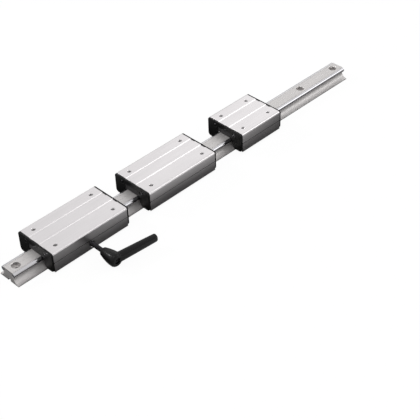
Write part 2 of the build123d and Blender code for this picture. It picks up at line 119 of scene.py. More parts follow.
# Rollers, in mm
ROLLER_RADIUS, ROLLER_WIDTH, ROLLER_CHAMFER = 6.0, 6.0, 0.3
GROOVE_HALF, CONTACT_ANGLE, ROLLER_BORE = 2.125, 30.0, 4.1
GROOVE_BREAK, GROOVE_EASE, ROOT_HALF, ROOT_LIFT = 0.05, 0.03, 0.17, 0.1
RING_WIDTH, RING_BORE, RING_LAND = 6.4, 2.5, 0.75
SHIELD_START, SHIELD_DROP, SHIELD_EDGE = 0.8, 0.35, 0.12
COLLAR_RADIUS, COLLAR_FLAT, COLLAR_SEAT, COLLAR_CORNER = 4.0, 3.8, 3.9, 4.45
BOLT_RADIUS, BOLT_HEAD_RADIUS, BOLT_HEAD_HEIGHT, BOLT_GRIP = 2.0, 3.5, 2.6, 5.5
# The screws' hexagon sockets: half across the flats and depth, and the corners' share of that half
BOLT_SOCKET, BOLT_SOCKET_DEPTH, SOCKET_CORNER = 1.25, 1.3, 1.16

# Clamp and lever, in mm outwards from the side of the carriage
BLOCK_LENGTH, BLOCK_HEIGHT, BLOCK_DEPTH, BLOCK_ROUND = 14.0, 10.0, 10.0, 1.0
SPIGOT_RADIUS, SPIGOT_SETBACK = 3.8, 0.4
SHOE_RADIUS, SHOE_REACH, SHOE_LENGTH, SHOE_SPARE, SHOE_CONE = 3.5, 1.4, 6.5, 1.0, 0.4
STUD_RADIUS, STUD_PITCH, STUD_THREAD = 2.5, 0.8, 0.45
LEVER_START, HUB_LENGTH, HUB_BASE, HUB_TOP = 16.5, 22.0, 4.25, 7.7
# How much wider than its base the hub is, how far up, and how much less than its top, how far down
HUB_NECK = ((-0.3, 0.0), (0.4, 0.4), (1.9, 6.0), (2.9, 11.0))
HUB_DOME = ((0.0, 6.0), (0.0, 2.8), (0.55, 1.4), (1.6, 0.35), (2.6, 0.0))
ARM_ROOT, ARM_RISE, ARM_TURN = 33.8, 8.0, 1.5
INSERT_START, INSERT_LENGTH, INSERT_RADIUS = 15.0, 11.2, 3.3
PILOT_REACH, THREAD_SETBACK, BORE_DEPTH, BORE_BREAK, WEB_CLEARANCE = 2.2, 0.9, 6.0, 0.4, 0.3
TOOTH_COUNT, TOOTH_DEPTH, TOOTH_HEIGHT = 12, 0.5, 3.3
WEB_START, WEB_THICKNESS, CAVITY_RADIUS = 26.6, 2.2, 3.3
# The cast skin's grain, and how much and how often it is smoothed
CAST_GRAIN, CAST_SMOOTHING, CAST_PASSES = 0.28, 0.5, 14
LEVER_SCREW_RADIUS, LEVER_SCREW_HEAD, LEVER_SCREW_HEIGHT = 1.5, 2.75, 2.0
LEVER_SCREW_SOCKET, LEVER_SCREW_DEPTH = 1.0, 5.6
SPRING_LENGTH, SPRING_WIRE, SPRING_RADIUS, SPRING_TURNS = 6.2, 0.25, 2.15, 4.0
# Distance along the arm, width and thickness in mm, and squareness of each section
ARM_SECTIONS = (
    (-3.0, 11.9, 9.4, 2.0), (4.0, 11.7, 9.4, 2.1), (12.0, 11.1, 9.0, 2.2),
    (24.0, 10.3, 8.4, 2.35), (38.0, 9.4, 7.8, 2.5), (45.0, 9.0, 7.4, 2.5),
    (47.9, 8.8, 7.2, 2.6), (49.2, 8.2, 6.6, 2.6), (49.9, 7.0, 5.6, 2.5),
)

# The photograph's camera: place in mm, heading, pitch and roll in degrees
CAMERA_PLACE = (-653.6, -699.3, 733.4)
CAMERA_HEADING, CAMERA_PITCH, CAMERA_ROLL = 43.149, -39.852, -0.218
CAMERA_LENS, CAMERA_SENSOR, CAMERA_SHIFT = 93.63, 36.0, -0.0952
CLIP_START, CLIP_END = 0.05, 50.0

# Roughness of freshly cut faces, how much colour a thread or slot keeps under painted shade, and
# how far the finish of counterbores and mouths, and the threads' painted shade, reach beyond them,
# in mm
BORE_ROUGHNESS, PAINTED_SHADE_TONE = 0.2, 0.12
BORE_MARGIN, THREAD_MARGIN, MOUTH_MARGIN = 0.6, 0.25, 0.1

# The floor: how white the camera sees it, its glow in reflections, and its places in mm
FLOOR_SHOWN, GLOW_STRENGTH, GLOW_LOWEST = 0.94, 1.7, 0.3
GLOW_START, GLOW_FULL, GLOW_BEYOND, GLOW_MIDDLE, GLOW_REACH = 36.0, 120.0, 40.0, -38.0, 215.0
FLOOR_REACH, FLOOR_DROP = 4000.0, 0.05
# The world's light on the object, its glow in reflections at the horizon, and where it is full
WORLD_FILL, HORIZON_GLOW, WALL_TOP = 0.4, 0.35, 0.4
# Soft boxes: direction from the guide, width and height in mm, and power in W
LAMP_DISTANCE = 2200
LAMPS = {
    "key_box": ((0.66, 0.48, 0.58), (1100, 1100), 1.2),
    "edge_box": ((0.62, -0.58, 0.53), (1100, 700), 4.5),
    "side_box": ((-0.42, 0.72, 0.55), (260, 260), 7.0),
    "top_box": ((-0.35, -0.1, 0.93), (1000, 1000), 5.0),
}

# Turn a lathed piece's axis along the rail, and an extrusion's axis upright
ALONG_RAIL = Matrix.Rotation(pi / 2, 4, "Y")
UPRIGHT = Matrix(((0, 1, 0, 0), (0, 0, 1, 0), (1, 0, 0, 0), (0, 0, 0, 1)))


def colour(code):
    """Linear RGB of an sRGB hex colour."""
    parts = [int(code[place:place + 2], 16) / 255 for place in (1, 3, 5)]
    return tuple(
        part / 12.92 if part <= 0.04045 else ((part + 0.055) / 1.055) ** 2.4 for part in parts
    )


# Properties that a user would change


def length(label, about, value, least=0.0):
    """A property for a size that is given in mm."""
    return bpy.props.FloatProperty(
        name=label, description=about, default=value * MM, min=least * MM, unit="LENGTH"
    )


def choice(label, about, code):
    """A property for a colour that is given as a hex code."""
    return bpy.props.FloatVectorProperty(
        name=label, description=about, default=colour(code), min=0.0, max=1.0, subtype="COLOR"
    )


class GuideSizes(bpy.types.PropertyGroup):
    """Sizes of the fine work, in metres."""

    end_break: length("End break", "How far the sawn ends' edges are broken", 0.2)
    plate_edge: length("Plate edge", "Rounding of the end plates' edges", 0.3)
    hole_break: length("Hole break", "Chamfer at the mouths of the rail's counterbores", 0.35)
    die_line: length("Die line", "Width of the lines that the extrusion die leaves", 0.35, 0.05)
    grit: length("Powder grain", "Size of the powder coat's texture on the lever", 0.6, 0.1)


class GuideColours(bpy.types.PropertyGroup):
    """Colours of the finishes."""

    carriage: choice("Carriage", "Clear anodised carriage bodies", "#D9D6D7")
    rail: choice("Rail", "Clear anodised rail", "#DBD8D7")
    shaft: choice("Shafts", "Ground guide shafts", "#C4C3C6")
    plate: choice("End plates", "Moulded end plates", "#111111")
    wiper: choice("Wipers", "Rubber wipers", "#403F40")
    lever: choice("Lever", "Powder coated lever", "#0A0A0B")
    floor: choice("Floor", "Pale floor", "#5A5A5A")


def sizes():
    """The fine sizes, in mm."""
    group = bpy.context.scene.guide_sizes
    return {name: getattr(group, name) / MM for name in GuideSizes.__annotations__}


def tint(name):
    """One of the finish colours."""
    return tuple(getattr(bpy.context.scene.guide_colours, name))


# Meshes


def linked(name, data):
    """A new object in the scene."""
    made = bpy.data.objects.new(name, data)
    bpy.context.scene.collection.objects.link(made)
    return made


def new_piece(name, points, faces):
    """Make an object from points in mm."""
    mesh = bpy.data.meshes.new(name)
    mesh.from_pydata([Vector(point) * MM for point in points], [], faces)
    mesh.update()
    return face_outwards(linked(name, mesh))


def face_outwards(piece):
    """Merge doubled points and turn all faces outwards."""
    work = bmesh.new()
    work.from_mesh(piece.data)
    bmesh.ops.remove_doubles(work, verts=work.verts, dist=1e-7)
    bmesh.ops.recalc_face_normals(work, faces=work.faces)
    work.to_mesh(piece.data)
    work.free()
    return piece


def settle(piece):
    """Turn a piece with its modifiers into a plain mesh."""
    bpy.context.view_layer.update()
    graph = bpy.context.evaluated_depsgraph_get()
    mesh = bpy.data.meshes.new_from_object(piece.evaluated_get(graph), depsgraph=graph)
    piece.modifiers.clear()
    piece.data = mesh
    return piece


def cut(piece, cutter, operation="DIFFERENCE"):
    """Cut, join or keep the common part of a piece and a cutter, which is used up."""
    boolean = piece.modifiers.new("Cut", "BOOLEAN")
    boolean.operation = operation
    boolean.solver = "EXACT"
    boolean.object = cutter
    settle(piece)
    bpy.data.objects.remove(cutter)
    return piece


def shade(piece, angle=32.0):
    """Smooth the curved faces, keep the edges sharp, and weigh the normals by face area."""
    work = bmesh.new()
    work.from_mesh(piece.data)
    for edge in work.edges:
        edge.smooth = len(edge.link_faces) == 2 and edge.calc_face_angle() < radians(angle)
    for face in work.faces:
        face.smooth = True
    work.to_mesh(piece.data)
    work.free()
    piece.modifiers.new("Normals", "WEIGHTED_NORMAL").keep_sharp = True
    return settle(piece)


def place(piece, matrix):
    """Move a piece's mesh, with the matrix's shift in mm."""
    moved = matrix.copy()
    moved.translation = matrix.to_translation() * MM
    piece.data.transform(moved)
    return piece


def arc(start, middle, end, steps):
    """Points on the arc through three points, without the first and the last."""
    ax, ay, bx, by, cx, cy = *start, *middle, *end
    twice = 2 * (ax * (by - cy) + bx * (cy - ay) + cx * (ay - by))
    squares = (ax**2 + ay**2, bx**2 + by**2, cx**2 + cy**2)
    ux = (squares[0] * (by - cy) + squares[1] * (cy - ay) + squares[2] * (ay - by)) / twice
    uy = (squares[0] * (cx - bx) + squares[1] * (ax - cx) + squares[2] * (bx - ax)) / twice
    radius = sqrt((ax - ux) ** 2 + (ay - uy) ** 2)
    first, via, last = (atan2(y - uy, x - ux) for x, y in (start, middle, end))
    sweep = (last - first) % (2 * pi)
    if (via - first) % (2 * pi) > sweep:
        sweep -= 2 * pi
    angles = [first + sweep * step / steps for step in range(1, steps)]
    return [(ux + radius * cos(angle), uy + radius * sin(angle)) for angle in angles]


def corner(centre, radius, start, end, steps):
    """Points on a rounded corner, angles in degrees, with both ends."""
    angles = [radians(start + (end - start) * step / steps) for step in range(steps + 1)]
    return [(centre[0] + radius * cos(angle), centre[1] + radius * sin(angle)) for angle in angles]


def mirrored(half):
    """Close a loop of (y, z) points that is given for y of 0 and up."""
    return half + [(-y, z) for y, z in reversed(half) if y > 1e-6]


def inset_loop(loop, depth):
    """The loop moved inwards by a depth."""
    count = len(loop)
    area = sum(
        loop[i][0] * loop[(i + 1) % count][1] - loop[(i + 1) % count][0] * loop[i][1]
        for i in range(count)
    )
    turn = 1 if area > 0 else -1
    moved = []
    for i, here in enumerate(loop):
        # The normals of the edges before and after a point
        normals = []
        for first, second in ((loop[i - 1], here), (here, loop[(i + 1) % count])):
            along = Vector((second[0] - first[0], second[1] - first[1])).normalized()
            normals.append(Vector((-along.y, along.x)) * turn)
        both = normals[0] + normals[1]
        # At sharp corners the inset is held back, so that it can't run far out
        scale = depth / max(0.35, 1 + normals[0].dot(normals[1]))
        moved.append((here[0] + both.x * scale, here[1] + both.y * scale))
    return moved


def tube(name, rings):
    """Join rings, each of the same number of points, into a closed skin."""
    count = len(rings[0])
    points = [point for ring in rings for point in ring]
    faces = [list(range(count)), list(range(len(points) - count, len(points)))]
    for low in range(0, len(points) - count, count):
        high = low + count
        for i in range(count):
            j = (i + 1) % count
            faces.append([low + i, low + j, high + j, high + i])
    return new_piece(name, points, faces)


def extrusion(name, loop, start, end, edge=0.0):
    """Extrude a closed loop of (y, z) points along X, with the edges of its ends broken."""
    rings = [(start, loop), (end, loop)]
    if edge:
        small = inset_loop(loop, edge)
        rings = [(start, small), (start + edge, loop), (end - edge, loop), (end, small)]
    return tube(name, [[(x, y, z) for y, z in ring] for x, ring in rings])


def box_cutter(name, ends, half, bottom, top):
    """A plain box, used only to cut with, as wide to both sides of the middle."""
    loop = [(-half, bottom), (half, bottom), (half, top), (-half, top)]
    return extrusion(name, loop, *ends)


def lathe(name, profile, turns=48, closed=False):
    """Turn (radius, height) points about Z, from the axis and back, or closed as a ring."""
    if not closed:
        (inner, bottom), (outer, top) = profile[0], profile[-1]
        profile = [(0, bottom)] * (inner > 0) + profile + [(0, top)] * (outer > 0)
    points, rings, faces = [], [], []
    for radius, height in profile:
        first = len(points)
        if radius < 1e-6:
            points.append((0, 0, height))
            rings.append([first] * turns)
            continue
        angles = [2 * pi * turn / turns for turn in range(turns)]
        points += [(radius * cos(angle), radius * sin(angle), height) for angle in angles]
        rings.append(list(range(first, first + turns)))
    for low, high in zip(rings, rings[1:] + (rings[:1] if closed else [])):
        for i in range(turns):
            j = (i + 1) % turns
            face = list(dict.fromkeys((low[i], low[j], high[j], high[i])))
            if len(face) > 2:
                faces.append(face)
    return new_piece(name, points, faces)


def rod(radius, start, end, chamfer):
    """The profile of a rod with both ends chamfered."""
    edge = radius - chamfer
    return [(edge, start), (radius, start + chamfer), (radius, end - chamfer), (edge, end)]


def prism(name, flat_radius, sides, bottom, top):
    """An upright prism with the given distance from its middle to its flats."""
    radius = flat_radius / cos(pi / sides)
    return lathe(name, [(radius, bottom), (radius, top)], sides)


def thread(name, core, depth, pitch, start, end, turns, steps):
    """A threaded rod along Z, whose crest winds up it; turns and steps are its fineness."""
    # How much of a pitch's half is flat on the root, and on the crest
    flat = 0.12
    rings = []
    count = int(round((end - start) / pitch * steps))
    for index in range(count + 1):
        height = start + (end - start) * index / count
        fade = min(1.0, (height - start) / pitch, (end - height) / pitch)
        ring = []
        for turn in range(turns):
            phase = (height / pitch - turn / turns) % 1.0
            rise = 1 - abs(2 * phase - 1)
            crest = min(1.0, max(0.0, (rise - flat) / (1 - 2 * flat)))
            radius = core + depth * crest * fade
            angle = 2 * pi * turn / turns
            ring.append((radius * cos(angle), radius * sin(angle), height))
        rings.append(ring)
    return tube(name, rings)


def merged(name, parts):
    """Several separate parts as one piece; the parts are used up."""
    work = bmesh.new()
    for part in parts:
        work.from_mesh(part.data)
        bpy.data.objects.remove(part)
    mesh = bpy.data.meshes.new(name)
    work.to_mesh(mesh)
    work.free()
    return linked(name, mesh)


def finish_piece(piece, finish, body, slot, *nodes):
    """Give a finished piece its material, the body it rides on and the nodes it stands for."""
    piece.data.materials.clear()
    piece.data.materials.append(finishes()[finish])
    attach(piece, body)
    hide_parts(*nodes)


def finish_on(which, piece, finish, slot, node):
    """Finish a piece that rides on a carriage."""
    finish_piece(piece, finish, f"{which}_carriage", slot, f"{which}_{node}")


# Geometry node trees


def add_node(tree, kind, inputs=None, **settings):
    """Add a node with its settings; an input takes a value, or a link from another socket."""
    node = tree.nodes.new(kind)
    for name, value in settings.items():
        setattr(node, name, value)
    for name, value in (inputs or {}).items():
        if isinstance(value, bpy.types.NodeSocket):
            tree.links.new(value, node.inputs[name])
        else:
            node.inputs[name].default_value = value
    return node


def open_tree(name, inputs):
    """A geometry tree with its named (kind, default) inputs, and their sockets."""
    tree = bpy.data.node_groups.new(name, "GeometryNodeTree")
    tree.is_modifier = True
    for label, (kind, value) in {"Geometry": ("Geometry", None), **inputs}.items():
        kind = f"NodeSocket{kind}"
        socket = tree.interface.new_socket(label, in_out="INPUT", socket_type=kind)
        if value is not None:
            socket.default_value = value
    tree.interface.new_socket("Geometry", in_out="OUTPUT", socket_type="NodeSocketGeometry")
    return tree, add_node(tree, "NodeGroupInput").outputs


def close_tree(tree, shape, finish):
    """End a tree in real geometry with its material."""
    real = add_node(tree, "GeometryNodeRealizeInstances", {"Geometry": shape.outputs[0]})
    inputs = {"Geometry": real.outputs[0], "Material": finish}
    skin = add_node(tree, "GeometryNodeSetMaterial", inputs)
    add_node(tree, "NodeGroupOutput", {"Geometry": skin.outputs[0]})
    return tree


def copies_tree():
    """A tree that sets a turned copy of one piece on every point."""
    inputs = {"Piece": ("Object", None), "Size": ("Float", 1.0), "Finish": ("Material", None)}
    tree, group = open_tree("Copies on places", inputs)
    named = {"Name": "turn"}
    turn = add_node(tree, "GeometryNodeInputNamedAttribute", named, data_type="FLOAT_VECTOR")
    rotation = add_node(tree, "FunctionNodeEulerToRotation", {"Euler": turn.outputs[0]})
    piece = add_node(tree, "GeometryNodeObjectInfo", {"Object": group["Piece"]})
    inputs = {"Points": group["Geometry"], "Instance": piece.outputs["Geometry"]}
    inputs |= {"Rotation": rotation.outputs[0], "Scale": group["Size"]}
    set_out = add_node(tree, "GeometryNodeInstanceOnPoints", inputs)
    return close_tree(tree, set_out, group["Finish"])


def spring_tree():
    """A tree that winds a wire along Z."""
    inputs = {"Coil Radius": 0.002, "Wire Radius": 0.0003, "Length": 0.006, "Turns": 4.0}
    inputs = {name: ("Float", value) for name, value in inputs.items()}
    tree, group = open_tree("Wound spring", {**inputs, "Finish": ("Material", None)})
    coil = {"Resolution": 28, "Rotations": group["Turns"], "Height": group["Length"]}
    coil |= {"Start Radius": group["Coil Radius"], "End Radius": group["Coil Radius"]}
    spiral = add_node(tree, "GeometryNodeCurveSpiral", coil).outputs[0]
    upright = add_node(tree, "GeometryNodeSetCurveNormal", {"Curve": spiral}, mode="Z_UP")
    circle = {"Resolution": 12, "Radius": group["Wire Radius"]}
    wire = add_node(tree, "GeometryNodeCurvePrimitiveCircle", circle).outputs[0]
    sweep = {"Curve": upright.outputs[0], "Profile Curve": wire, "Fill Caps": True}
    return close_tree(tree, add_node(tree, "GeometryNodeCurveToMesh", sweep), group["Finish"])


def run_tree(piece, tree, values):
    """Run a node tree on a piece, with its inputs set by name, and settle the result."""
    nodes = piece.modifiers.new("Nodes", "NODES")
    nodes.node_group = tree
    for item in tree.interface.items_tree:
        if item.item_type == "SOCKET" and item.in_out == "INPUT" and item.name in values:
            nodes[item.identifier] = values[item.name]
    return settle(piece)


def unturned(spots):
    """Places for copies that stand as their prototype does."""
    return [(spot, (0, 0, 0)) for spot in spots]


def copies(name, prototype, places, finish=None):
    """Copies of a prototype at (place in mm, turn in radians) pairs, as one mesh."""
    mesh = bpy.data.meshes.new(name)
    mesh.from_pydata([Vector(spot) * MM for spot, turn in places], [], [])
    turns = mesh.attributes.new("turn", "FLOAT_VECTOR", "POINT")
    turns.data.foreach_set("vector", [value for spot, turn in places for value in turn])
    tree = bpy.data.node_groups.get("Copies on places") or copies_tree()
    values = {"Piece": prototype, "Size": 1.0, "Finish": finish}
    return run_tree(linked(name, mesh), tree, values)


def drill(piece, cutter, places):
    """Cut a cutter out of a piece at all its places; the cutter is used up."""
    cut(piece, copies(f"{cutter.name}_set", cutter, places))
    bpy.data.objects.remove(cutter)


def set_of(name, prototype, places_on, finish, slot, node):
    """Put one set of copies on every carriage; the prototype is used up."""
    for which in CARRIAGES:
        made = copies(f"{which}_{name}", prototype, places_on(which), finishes()[finish])
        finish_on(which, made, finish, slot, node)
    bpy.data.objects.remove(prototype)


# Finishes


def new_finish(name):
    """A material with an empty node tree."""
    finish = bpy.data.materials.new(name)
    finish.use_nodes = True
    finish.node_tree.nodes.clear()
    return finish, finish.node_tree


def close_finish(finish, shader):
    """Link the shader to the material's output."""
    add_node(finish.node_tree, "ShaderNodeOutputMaterial", {"Surface": shader.outputs[0]})
    return finish


def principled(finish, base, roughness, **more):
    """Close a finish with a Principled shader."""
    inputs = {"Base Color": base, "Roughness": roughness}
    inputs |= {name.replace("_", " "): value for name, value in more.items()}
    return close_finish(finish, add_node(finish.node_tree, "ShaderNodeBsdfPrincipled", inputs))


def maths(tree, kind, first, second=0.0):
    """A calculation with one or two values or sockets."""
    return add_node(tree, "ShaderNodeMath", {0: first, 1: second}, operation=kind).outputs[0]


def object_place(tree):
    """The three object coordinates, in metres."""
    where = add_node(tree, "ShaderNodeTexCoord").outputs["Object"]
    return add_node(tree, "ShaderNodeSeparateXYZ", {0: where}).outputs


def stretched_noise(tree, size, detail=2.0):
    """Noise on the object's own coordinates, with one grain as large as the three sizes in mm."""
    where = add_node(tree, "ShaderNodeTexCoord").outputs["Object"]
    scale = tuple(1 / (value * MM) for value in size)
    mapped = add_node(tree, "ShaderNodeMapping", {"Vector": where, "Scale": scale}).outputs[0]
    inputs = {"Vector": mapped, "Scale": 1.0, "Detail": detail, "Roughness": 0.55}
    return add_node(tree, "ShaderNodeTexNoise", inputs).outputs[0]


def even_noise(tree, size):
    """Noise with a grain of the same size, in mm, all ways."""
    return stretched_noise(tree, (size, size, size), 3.0)


def ranged(tree, value, low, high, start=0.3, end=0.7):
    """Map a range, unless given a noise's middle, to a low and a high value."""
    inputs = {"Value": value, "From Min": start, "From Max": end, "To Min": low, "To Max": high}
    return add_node(tree, "ShaderNodeMapRange", inputs).outputs[0]


def toned(tree, base, tone):
    """A colour times a tone."""
    inputs = {0: base, "Scale": tone}
    return add_node(tree, "ShaderNodeVectorMath", inputs, operation="SCALE").outputs[0]


def bumped(tree, height, strength, depth):
    """Normals of a relief, its depth in mm."""
    inputs = {"Height": height, "Strength": strength, "Distance": depth * MM}
    return add_node(tree, "ShaderNodeBump", inputs).outputs[0]


def blend(tree, share, first, second):
    """Between two values by a share."""
    return add_node(tree, "ShaderNodeMix", {0: share, 2: first, 3: second}).outputs[0]


def near_to(tree, value, middle, reach):
    """1 where a value is within a reach of the middle, both in mm, and 0 elsewhere."""
    off = maths(tree, "ABSOLUTE", maths(tree, "SUBTRACT", value, middle * MM))
    return maths(tree, "LESS_THAN", off, reach * MM)


def in_circle(tree, first, second, radius):
    """1 where two distances in metres lie in a circle with a radius in mm, and 0 elsewhere."""
    squares = [maths(tree, "MULTIPLY", value, value) for value in (first, second)]
    return maths(tree, "LESS_THAN", maths(tree, "ADD", *squares), (radius * MM) ** 2)


def rail_bores(tree):
    """1 inside the rail's row of counterbores."""
    at = object_place(tree)
    first = RAIL_START + HOLE_END
    steps = maths(tree, "DIVIDE", maths(tree, "SUBTRACT", at["X"], first * MM), HOLE_PITCH * MM)
    part = maths(tree, "FRACT", maths(tree, "ADD", steps, 0.5))
    along = maths(tree, "MULTIPLY", maths(tree, "SUBTRACT", part, 0.5), HOLE_PITCH * MM)
    return in_circle(tree, along, at["Y"], COUNTERBORE_RADIUS + BORE_MARGIN)


def tapped_bores(tree, radius):
    """1 within a radius of the carriages' tapped holes."""
    at = object_place(tree)
    beside = maths(tree, "SUBTRACT", maths(tree, "ABSOLUTE", at["Y"]), TAPPED_GAUGE / 2 * MM)
    inside = 0.0
    for which in CARRIAGES:
        for x in set_in(which, TAPPED_INSET[which]):
            along = maths(tree, "SUBTRACT", at["X"], x * MM)
            inside = maths(tree, "MAXIMUM", inside, in_circle(tree, along, beside, radius))
    return inside


def side_slots(tree):
    """1 inside the fine slots in the carriages' sides."""
    at = object_place(tree)
    beside = maths(tree, "ABSOLUTE", at["Y"])
    # The slots' own depth, from just under the sides
    middle, half = SIDE_Y - SIDE_LINE_DEPTH / 2 - 0.1, SIDE_LINE_DEPTH / 2 + 0.05
    sunk = near_to(tree, beside, middle, half)
    level = near_to(tree, at["Z"], CARRIAGE_TOP - SIDE_LINE_DROP, SIDE_LINE_WIDTH)
    return maths(tree, "MULTIPLY", sunk, level)


def threads_and_slots(tree):
    """1 in the carriages' threads and side slots, where shade is painted."""
    threads = tapped_bores(tree, TAPPED_RADIUS + THREAD_MARGIN)
    return maths(tree, "MAXIMUM", threads, side_slots(tree))


def extruded_aluminium(name, base, roughness, metallic, line, cuttings, painted_shade=None):
    """Clear anodised aluminium from a die: satin, with fine straight lines along the extrusion."""
    finish, tree = new_finish(name)
    # Die lines, drawn so coarse that they show from a metre away
    lines = stretched_noise(tree, (160.0, line * 3, line * 3), 3.0)
    fine = stretched_noise(tree, (40.0, line, line))
    cloud = stretched_noise(tree, (60.0, 25.0, 25.0))
    half = maths(tree, "MULTIPLY", maths(tree, "ADD", lines, cloud), 0.5)
    bump = bumped(tree, fine, 0.12, 0.02)
    rough = ranged(tree, fine, roughness - 0.04, roughness + 0.05)
    tone = ranged(tree, half, 0.94, 1.03)
    # The cutter leaves the bores brighter and smoother than the satin skin round them
    rough = blend(tree, cuttings(tree), rough, BORE_ROUGHNESS)
    if painted_shade:
        # Painted shade: threads and slots are darkened as if shade fell in them
        tone = blend(tree, painted_shade(tree), tone, PAINTED_SHADE_TONE)
    return principled(finish, toned(tree, base, tone), rough, Metallic=metallic, Normal=bump)


def ground_steel(name, base, roughness, grain=(0.25, 6.0, 6.0)):
    """Hardened steel, ground and polished: bright, with a trace of the wheel's marks round it."""
    finish, tree = new_finish(name)
    marks = stretched_noise(tree, grain)
    tone = ranged(tree, stretched_noise(tree, (30.0, 8.0, 8.0)), 0.96, 1.02)
    rough = ranged(tree, marks, roughness - 0.02, roughness + 0.04)
    return principled(finish, toned(tree, base, tone), rough, Metallic=1.0)


def turned_metal(name, code, roughness, size=0.5):
    """Turned or plated metal: bright, slightly uneven, with fine tool marks."""
    finish, tree = new_finish(name)
    marks = even_noise(tree, size)
    tone = ranged(tree, marks, 0.9, 1.05)
    rough = ranged(tree, marks, roughness - 0.06, roughness + 0.08)
    bump = bumped(tree, marks, 0.1, 0.02)
    return principled(finish, toned(tree, colour(code), tone), rough, Metallic=1.0, Normal=bump)


def moulded_plastic(name, base, roughness, size, depth):
    """Moulded black plastic or rubber: a soft sheen broken up by the mould's fine texture."""
    finish, tree = new_finish(name)
    grain = even_noise(tree, size)
    tone = ranged(tree, stretched_noise(tree, (9.0, 9.0, 9.0)), 0.85, 1.15)
    rough = ranged(tree, grain, roughness - 0.06, roughness + 0.08)
    more = {"IOR": 1.5, "Specular_IOR_Level": 0.22, "Normal": bumped(tree, grain, 0.35, depth)}
    return principled(finish, toned(tree, base, tone), rough, **more)


def finishes():
    """All finishes, made once."""
    made = {name: bpy.data.materials.get(name) for name in FINISHES}
    for name, maker in FINISHES.items():
        if made[name] is None:
            made[name] = maker(name)
    return made


FINISHES = {
    # Clear anodised carriage bodies: pale satin with fine die lines, and painted shade in threads
    # and side slots
    "Anodised carriage aluminium": lambda name: extruded_aluminium(
        name, tint("carriage"), 0.34, 1.0, sizes()["die_line"],
        lambda tree: tapped_bores(tree, TAPPED_MOUTH + MOUTH_MARGIN), threads_and_slots,
    ),
    # The rail's extrusion: a thicker, duller oxide that scatters, with bright cut bores
    "Anodised rail aluminium": lambda name: extruded_aluminium(
        name, tint("rail"), 0.46, 0.5, sizes()["die_line"], rail_bores
    ),
    # Guide shafts: bright, with a sharp highlight
    "Ground shaft steel": lambda name: ground_steel(name, tint("shaft"), 0.09),
    # Rollers and their inner rings
    "Ground bearing steel": lambda name: ground_steel(
        name, colour("#BDBCC0"), 0.16, (1.0, 1.0, 0.2)
    ),
    # Bushes, roller bolts and the clamp's block
    "Turned steel": lambda name: turned_metal(name, "#A9A8AB", 0.32),
    # Small screws of the end plates
    "Blackened screw steel": lambda name: turned_metal(name, "#5A595C", 0.22, 0.4),
    # The clamp's shoe
    "Turned brass": lambda name: turned_metal(name, "#D2B06C", 0.28),
    # The lever's insert and screw: dark, slightly oily sheen
    "Blackened steel": lambda name: turned_metal(name, "#38373A", 0.28),
    # The lever's spring
    "Drawn spring wire": lambda name: turned_metal(name, "#B5B4B8", 0.25, 0.3),
    # End plates: black, soft sheen
    "Moulded black nylon": lambda name: moulded_plastic(name, tint("plate"), 0.42, 0.25, 0.02),
    # Wipers: dull dark grey
    "Moulded rubber": lambda name: moulded_plastic(name, tint("wiper"), 0.62, 0.4, 0.03),
    # The lever: black powder coat with a fine orange peel
    "Powder coated zinc": lambda name: moulded_plastic(
        name, tint("lever"), 0.28, sizes()["grit"], 0.03
    ),
}


# Rail and shafts


def rail_loop():
    """The rail's section, with its crimped grooves beside the shafts."""
    seat = SHAFT_RADIUS + FIT
    upper_tip = (SHAFT_Y - LIP_COVER, SHAFT_Z + sqrt(seat**2 - LIP_COVER**2))
    lower_tip = (SHAFT_Y + LOWER_LIP_REACH, SHAFT_Z - sqrt(seat**2 - LOWER_LIP_REACH**2))
    waist, foot_top = (WAIST_HALF, WAIST_HEIGHT), (FOOT_HALF, FOOT_EDGE)
    chord = sqrt((foot_top[0] - waist[0]) ** 2 + (foot_top[1] - waist[1]) ** 2)
    hollow = (
        (waist[0] + foot_top[0]) / 2 - FLANK_HOLLOW * (waist[1] - foot_top[1]) / chord,
        (waist[1] + foot_top[1]) / 2 - FLANK_HOLLOW * (foot_top[0] - waist[0]) / chord,
    )
    half = [(0, CHANNEL_DEPTH), (CHANNEL_HALF, CHANNEL_DEPTH), (CHANNEL_HALF, 0)]
    half += corner((FOOT_HALF - FOOT_ROUND, FOOT_ROUND), FOOT_ROUND, -90, 0, 4)
    half += [foot_top, *arc(foot_top, hollow, waist, 12), waist]
    half += [(lower_tip[0], lower_tip[1] - LOWER_LIP_THICKNESS), lower_tip]
    half += arc(lower_tip, (SHAFT_Y - seat, SHAFT_Z), upper_tip, 14)
    half += [upper_tip, (upper_tip[0], RAIL_HEIGHT), (CRIMP_Y + CRIMP_HALF, RAIL_HEIGHT)]
    half += [(CRIMP_Y, RAIL_HEIGHT - CRIMP_DEPTH), (CRIMP_Y - CRIMP_HALF, RAIL_HEIGHT)]
    half += [(SCRIBE_DEPTH, RAIL_HEIGHT), (0, RAIL_HEIGHT - SCRIBE_DEPTH)]
    return mirrored(half)


class GUIDE_OT_rail(bpy.types.Operator):
    """Extrude the rail and bore its counterbored mounting holes"""

    bl_idname = "guide.rail"
    bl_label = "Rail"

    def execute(self, context):
        fine = sizes()
        rail = extrusion("rail", rail_loop(), RAIL_START, RAIL_END, fine["end_break"])
        floor, rim, wide = RAIL_HEIGHT - COUNTERBORE_DEPTH, fine["hole_break"], COUNTERBORE_RADIUS
        hole = [(HOLE_RADIUS, -PAST), (HOLE_RADIUS, floor - MOUTH_BREAK)]
        hole += [(HOLE_RADIUS + MOUTH_BREAK, floor), (wide, floor)]
        hole += [(wide, RAIL_HEIGHT - rim), (wide + rim + OVER, RAIL_HEIGHT + OVER)]
        count = int((RAIL_END - RAIL_START - 2 * HOLE_END) / HOLE_PITCH + 0.001) + 1
        spots = [(RAIL_START + HOLE_END + HOLE_PITCH * index, 0, 0) for index in range(count)]
        drill(rail, lathe("hole", hole), unturned(spots))
        names = ("Anodised rail aluminium", "rail", "rail_aluminium", "rail_extrusion")
        finish_piece(shade(rail), *names)
        return {"FINISHED"}


